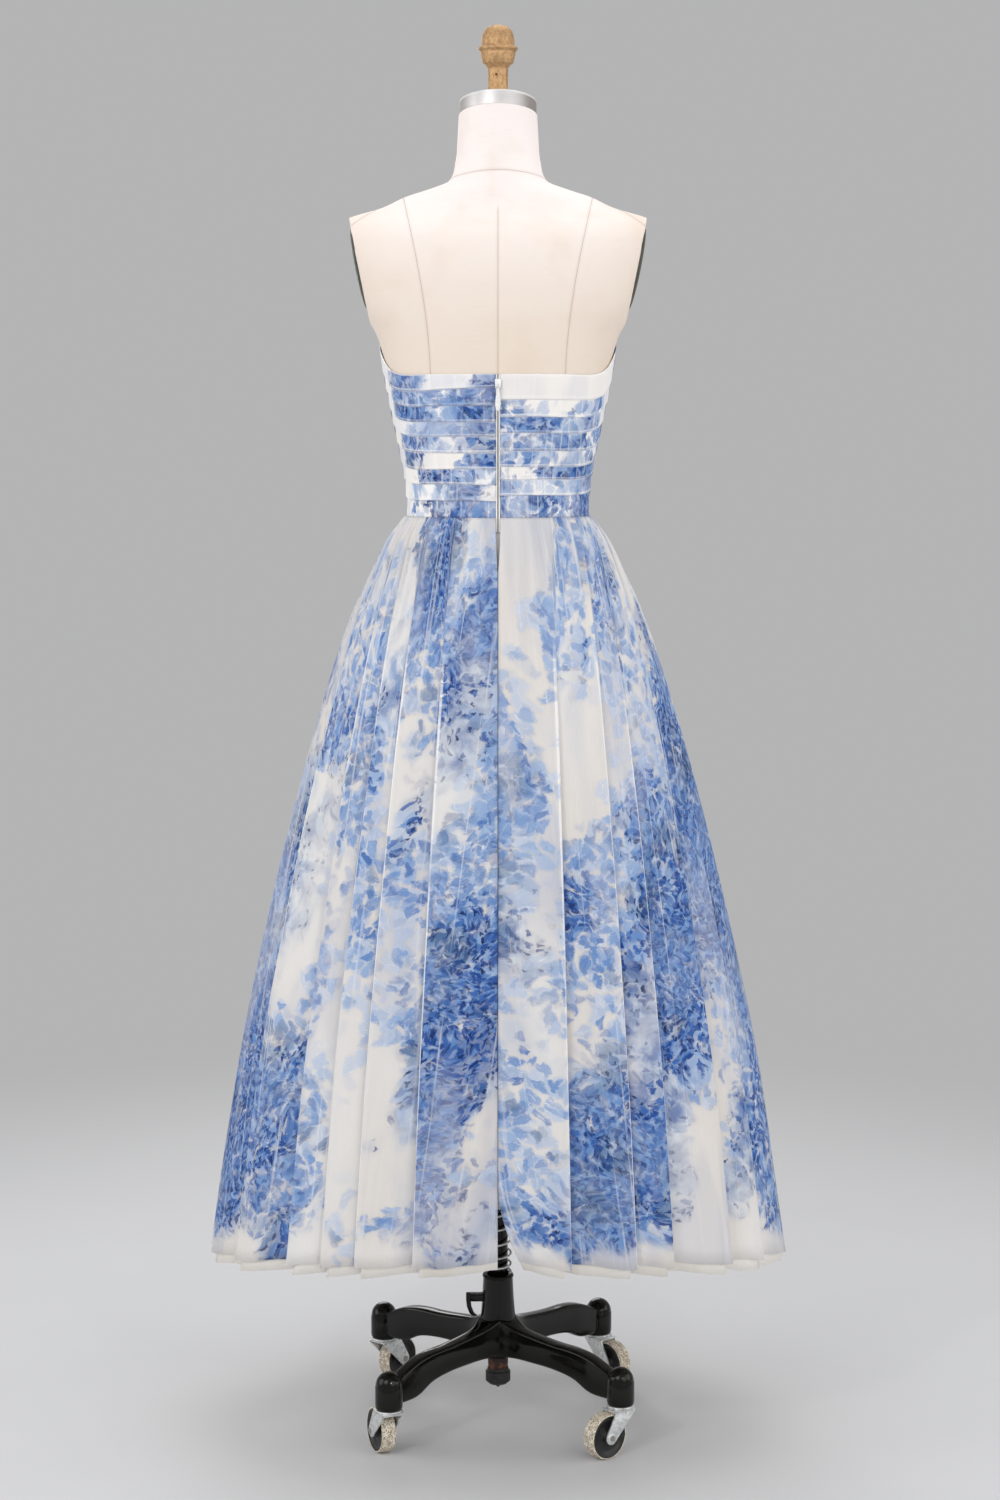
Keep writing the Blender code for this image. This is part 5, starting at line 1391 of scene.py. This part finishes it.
def makePost():
    radius, top, bottom = stand["postRadius"], stand["postTop"], stand["postBottom"]
    profile = [(radius - 0.0006, bottom), (radius, bottom + 0.0008), (radius, top - 0.0008), (radius - 0.0006, top)]
    finished(turnedPiece("post", profile, 48), enamelFinish, "post", "black_enamel", "post")
    low, height, outer = stand["collar"]
    bore, high = radius + seamGap, low + height
    profile = [
        (bore, low), (outer - 0.001, low), (outer, low + 0.001), (outer, high - 0.002),
        *arc((outer - 0.0018, high - 0.0018), 0.0018, 10, 90, 3), (bore, high),
    ]
    finished(turnedPiece("postCollar", profile, 48, ring=True), enamelFinish, "post", "black_enamel", "post_collar")


def makeSpring():
    wire, turns, radius = stand["springWire"], stand["springTurns"], stand["springRadius"]
    low, high = stand["hubTop"] + wire + seamGap, stand["collar"][0] - wire - seamGap
    path = bpy.data.curves.new("postSpring", "CURVE")
    path.dimensions, path.bevel_depth, path.bevel_resolution, path.use_fill_caps = "3D", wire, 3, True
    spline = path.splines.new("POLY")
    steps = turns * 40
    spline.points.add(steps)
    for i in range(steps + 1):
        whole = 2 * math.pi * i / steps
        angle = whole * turns - 0.5
        # Its turns lie closer together at the ends
        z = low + (high - low) * (whole - math.sin(whole) * 0.35) / (2 * math.pi)
        spline.points[i].co = (radius * math.cos(angle), radius * math.sin(angle), z, 1)
    coil = bpy.data.objects.new("postSpring", path)
    bpy.context.scene.collection.objects.link(coil)
    pick(coil)
    bpy.ops.object.convert(target="MESH")
    coil = bpy.context.object
    fixNormals(coil)
    finished(coil, zincFinish, "stand", "zinc", "post_spring", angle=80)


lever = {
    # x and height of the curved arm that hangs from the lug on the hub's side
    "path": [(-0.039, 0.164), (-0.039, 0.155), (-0.0378, 0.146), (-0.0345, 0.1375), (-0.03, 0.1335)],
    "size": (0.006, 0.008),
    "taper": 0.985,  # from step to step
}


def makeLever():
    path, (thick, wide) = lever["path"], lever["size"]
    places = [[p + (q - p) * i / 4 for p, q in zip(a, b)] for a, b in zip(path, path[1:]) for i in range(4)]
    places.append(path[-1])
    stations = [((x, 0, z), (thick, wide * lever["taper"] ** i, 1)) for i, (x, z) in enumerate(places)]
    arm = sweptPiece("heightLever", stations, 0.0009)
    finished(arm, enamelFinish, "height_lever", "black_enamel", "height_lever")


castor = {
    "wheelRadius": 0.0285,
    "halfWidth": 0.01,
    "trail": 0.027,
    "bore": 0.0035,
    "axle": 0.0029,
    "boss": 0.0085,
    "inner": 0.0118,
    "plate": 0.0022,
    "crown": (0.00325, 0.0325),  # middle and length of the fork's top
    "race": 0.0178,
    "raceBottom": 0.0586,
    "stem": 0.0055,
    # radius, height over the fork's cheek
    "washer": [(0.006, 0), (0.006, 0.0006), (0.0056, 0.0009), (0.001, 0.0009)],
    "rivet": [(0.0042, 0.0006), (0.0041, 0.0014), (0.0034, 0.0022), (0.002, 0.0027), (0.0008, 0.0028)],
    "nut": [(0.004, 0.0006), (0.004, 0.0027), (0.0012, 0.0027)],
}


def makeWheel():
    radius, half = castor["wheelRadius"], castor["halfWidth"]
    tread, rim = radius - 0.0026, radius - 0.0012
    # radius, how far in from the full width
    side = [
        (castor["bore"], 0.0002), (0.008, 0.0002), (0.0086, 0.001), (0.0094, 0.0034), (0.0105, 0.004),
        (0.0185, 0.004), (0.0205, 0.0032), (0.0218, 0.0016), (0.023, 0.001), (tread, 0.0009),
        (tread + 0.0005, 0.0006), (rim, 0.0006), (radius - 0.0006, 0.0016), (radius - 0.00015, 0.004),
    ]
    profile = [(out, half - sunk) for out, sunk in side] + [(out, sunk - half) for out, sunk in reversed(side)]
    wheel = turnedPiece("wheel", profile, 72, ring=True)
    for finish in (wheelDiscFinish, rimFinish, treadFinish):
        painted(wheel, finish)
    for face in wheel.data.polygons:
        out = math.hypot(face.center.x, face.center.y)
        face.material_index = 2 if out > rim else 1 if out > tread + 0.0003 else 0
    # Turned about z: the axle is laid along y
    return moved(wheel, Matrix.Translation((castor["trail"], 0, radius)) @ Matrix.Rotation(math.pi / 2, 4, "X"))


def makeFork():
    inner, plate, race, low = castor["inner"], castor["plate"], castor["race"], castor["raceBottom"]
    x, z = castor["trail"], castor["wheelRadius"]
    middle, length = castor["crown"]
    lying = (math.pi / 2, 0, 0)
    cheeks = []
    for ending, side in (("Near", -1), ("Far", 1)):
        y = side * (inner + plate / 2)
        box = (middle, y, low - 0.002), (length, plate, 0.002)
        words = {"vertices": 36, "radius": castor["boss"], "depth": plate, "location": (x, y, z)}
        cheeks.append(stretchedDisc("cheek" + ending, *box, rotation=lying, **words))
    crown = block("crown", (length, 2 * (inner + plate), plate), (middle, 0, low - plate / 2))
    fork = joined([crown, *cheeks], "fork")
    fixNormals(fork)
    rounded(fork, 0.0005, 2, 50)
    profile = [
        (castor["stem"], 0.0846), (castor["stem"], 0.0628), (0.015, 0.0628), *arc((0.016, 0.0616), 0.0012, 90, -10, 3),
        (0.0168, 0.0606), (0.0165, 0.0602), (race - 0.0006, 0.06), (race, 0.0594), (race, 0.0588),
        (0.015, 0.058), (0.004, 0.058),
    ]
    pieces = [painted(fork, zincFinish), painted(turnedPiece("race", profile, 56), zincFinish)]
    for side in (-1, 1):  # axle heads: a washer, with a dome on one side and a nut on the other
        washer = turnedPiece("washer", castor["washer"], 32)
        if side < 0:
            head = turnedPiece("rivet", castor["rivet"], 32)
        else:
            head = rounded(turnedPiece("nut", castor["nut"], 6), 0.0003, 2)
        place = Matrix.Translation((x, side * (inner + plate), z)) @ Matrix.Rotation(-side * math.pi / 2, 4, "X")
        pieces.append(moved(painted(washer, zincFinish), place))
        pieces.append(moved(painted(head, boltFinish), place))
    axle = turnedPiece("axle", [(castor["axle"], -inner), (castor["axle"], inner)], 24)
    place = Matrix.Translation((x, 0, z)) @ Matrix.Rotation(math.pi / 2, 4, "X")
    pieces.append(moved(painted(axle, boltFinish), place))
    return joined(pieces, "fork")


def makeCastors():
    wheel, fork = makeWheel(), makeFork()
    for node, ending, degrees, heading in castors:
        place = Matrix.Translation(castorPlace(degrees)) @ Matrix.Rotation(math.radians(heading), 4, "Z")
        thisFork = copied(fork, "castorFork" + ending, place)
        finished(thisFork, None, "castor_" + node, "zinc", "castor_fork_" + node)
        thisWheel = copied(wheel, "castorWheel" + ending, place)
        finished(thisWheel, None, "wheel_" + node, "wheel", "castor_wheel_" + node)
    remove(fork, wheel)


# The zip

zipper = {
    "bottom": 1.1665,
    "top": 1.366,
    "halfWidth": 0.0027,
    "rings": 300,
    "out": 0.001,
    "waistOut": 0.0046,
    "waistHeight": 0.029,  # over which it leaves the form towards the waist
    "footSlope": 0.56,
    "slider": 1.3545,
    "pin": (-0.1132607, 1.3513),  # y, z
    # half-width of the pull's tab, how far below the pin
    "tab": [
        (0.0012, 0.0012), (0.0012, 0.004), (0.0019, 0.008), (0.0028, 0.014), (0.0034, 0.02), (0.0034, 0.024),
        (0.0027, 0.028), (0.0014, 0.0304), (0.0003, 0.031),
    ],
}


def zipLine(z):  # the inner face of the zip, behind the axis
    low, high = bodice["waist"], bodice["waist"] + zipper["waistHeight"]
    if z > high:
        return formPoint(z, 0, zipper["out"]).y
    waist, upper = formPoint(low, 0, zipper["waistOut"]).y, formPoint(high, 0, zipper["out"]).y
    if z < low:
        return waist - (low - z) * zipper["footSlope"]
    return waist + (upper - waist) * (z - low) / zipper["waistHeight"]


def makeZip():
    low, high, half, last = zipper["bottom"], zipper["top"], zipper["halfWidth"], zipper["rings"] - 1
    lip = [(half, 0), (half, 0.0022), (0.0022, 0.0026), (0.0013, 0.0027), (0.0006, 0.0022), (0.0003, 0.0006)]
    section = [(-x, out) for x, out in lip] + [(x, out) for x, out in reversed(lip)]
    rings = []
    for i in range(last + 1):
        z = low + (high - low) * i / last
        y = zipLine(z)
        ring = []
        for x, out in section:
            if abs(x) < 0.001:  # the teeth of the two halves take turns
                side = 1 if x > 0 else -1
                tooth = side * (-1) ** i
                out += 0.00012 * tooth
                x += side * 0.00008 * tooth
            ring.append((x, y - out, z))
        rings.append(ring)
    finished(lofted("zipCoil", rings), zipFinish, "form", "zip_white", "zip_coil", angle=60)


def makeSlider():
    y, z = zipper["pin"]
    face, height, across = y + 0.0022, zipper["slider"], (0, math.pi / 2, 0)
    plate = block("sliderPlate", (0.0082, 0.0022, 0.012), (0, face + 0.0011, height))
    for vert in plate.data.vertices:  # narrower at its lower end
        if vert.co.z < height:
            vert.co.x *= 0.78
    rounded(plate, 0.001, 4)
    neckBlock = block("sliderNeck", (0.0044, 0.0026, 0.0096), (0, face + 0.0033, height))
    pieces = [plate, rounded(neckBlock, 0.0004, 2)]
    for x in (-0.0019, 0.0019):
        box = (x, face, z), (0.0009, 0.001, 0.0052)
        words = {"vertices": 24, "radius": 0.0019, "depth": 0.0009, "location": (x, y + 0.0004, z)}
        pieces.append(rounded(stretchedDisc("ear", *box, rotation=across, **words), 0.00025, 2))
    words = {"vertices": 16, "radius": 0.00065, "depth": 0.0042, "location": (0, y, z)}
    pieces.append(startPiece("pin", "cylinder", rotation=across, **words))
    finished(joined(pieces, "zipSlider"), sliderFinish, "form", "zip_white", "zip_slider")

    # A ring on the pin, and the drop-shaped tab that hangs from it
    words = {"major_segments": 32, "minor_segments": 10, "major_radius": 0.00155, "minor_radius": 0.00055}
    ring = startPiece("pullRing", "torus", location=(0, y - 0.0002, z - 0.001), rotation=across, **words)
    stations = [((0, y, z - down), (2 * width, 0.0015, 1)) for width, down in zipper["tab"]]
    tab = sweptPiece("pullTab", stations, 0.00045)
    finished(joined([tab, ring], "zipPull"), pullFinish, "zip_pull", "zip_white", "zip_pull")


# Nodes that stay as they are, with finishes of their own

def refinish(node, finish):
    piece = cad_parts[node]
    piece.data.materials.clear()
    painted(piece, finish)


print("skirts")
makeSkirt(tulle)
makeSkirt(underskirt)
makeLining()
print("bodice and zip")
makeBodice()
makeZip()
makeSlider()
print("form")
makeForm()
makeNeck()
makeArmPlates()
print("stand")
makeBase()
makePost()
makeSpring()
makeLever()
makeCastors()
refinish("form_board", boardFinish)
refinish("post_socket", enamelFinish)
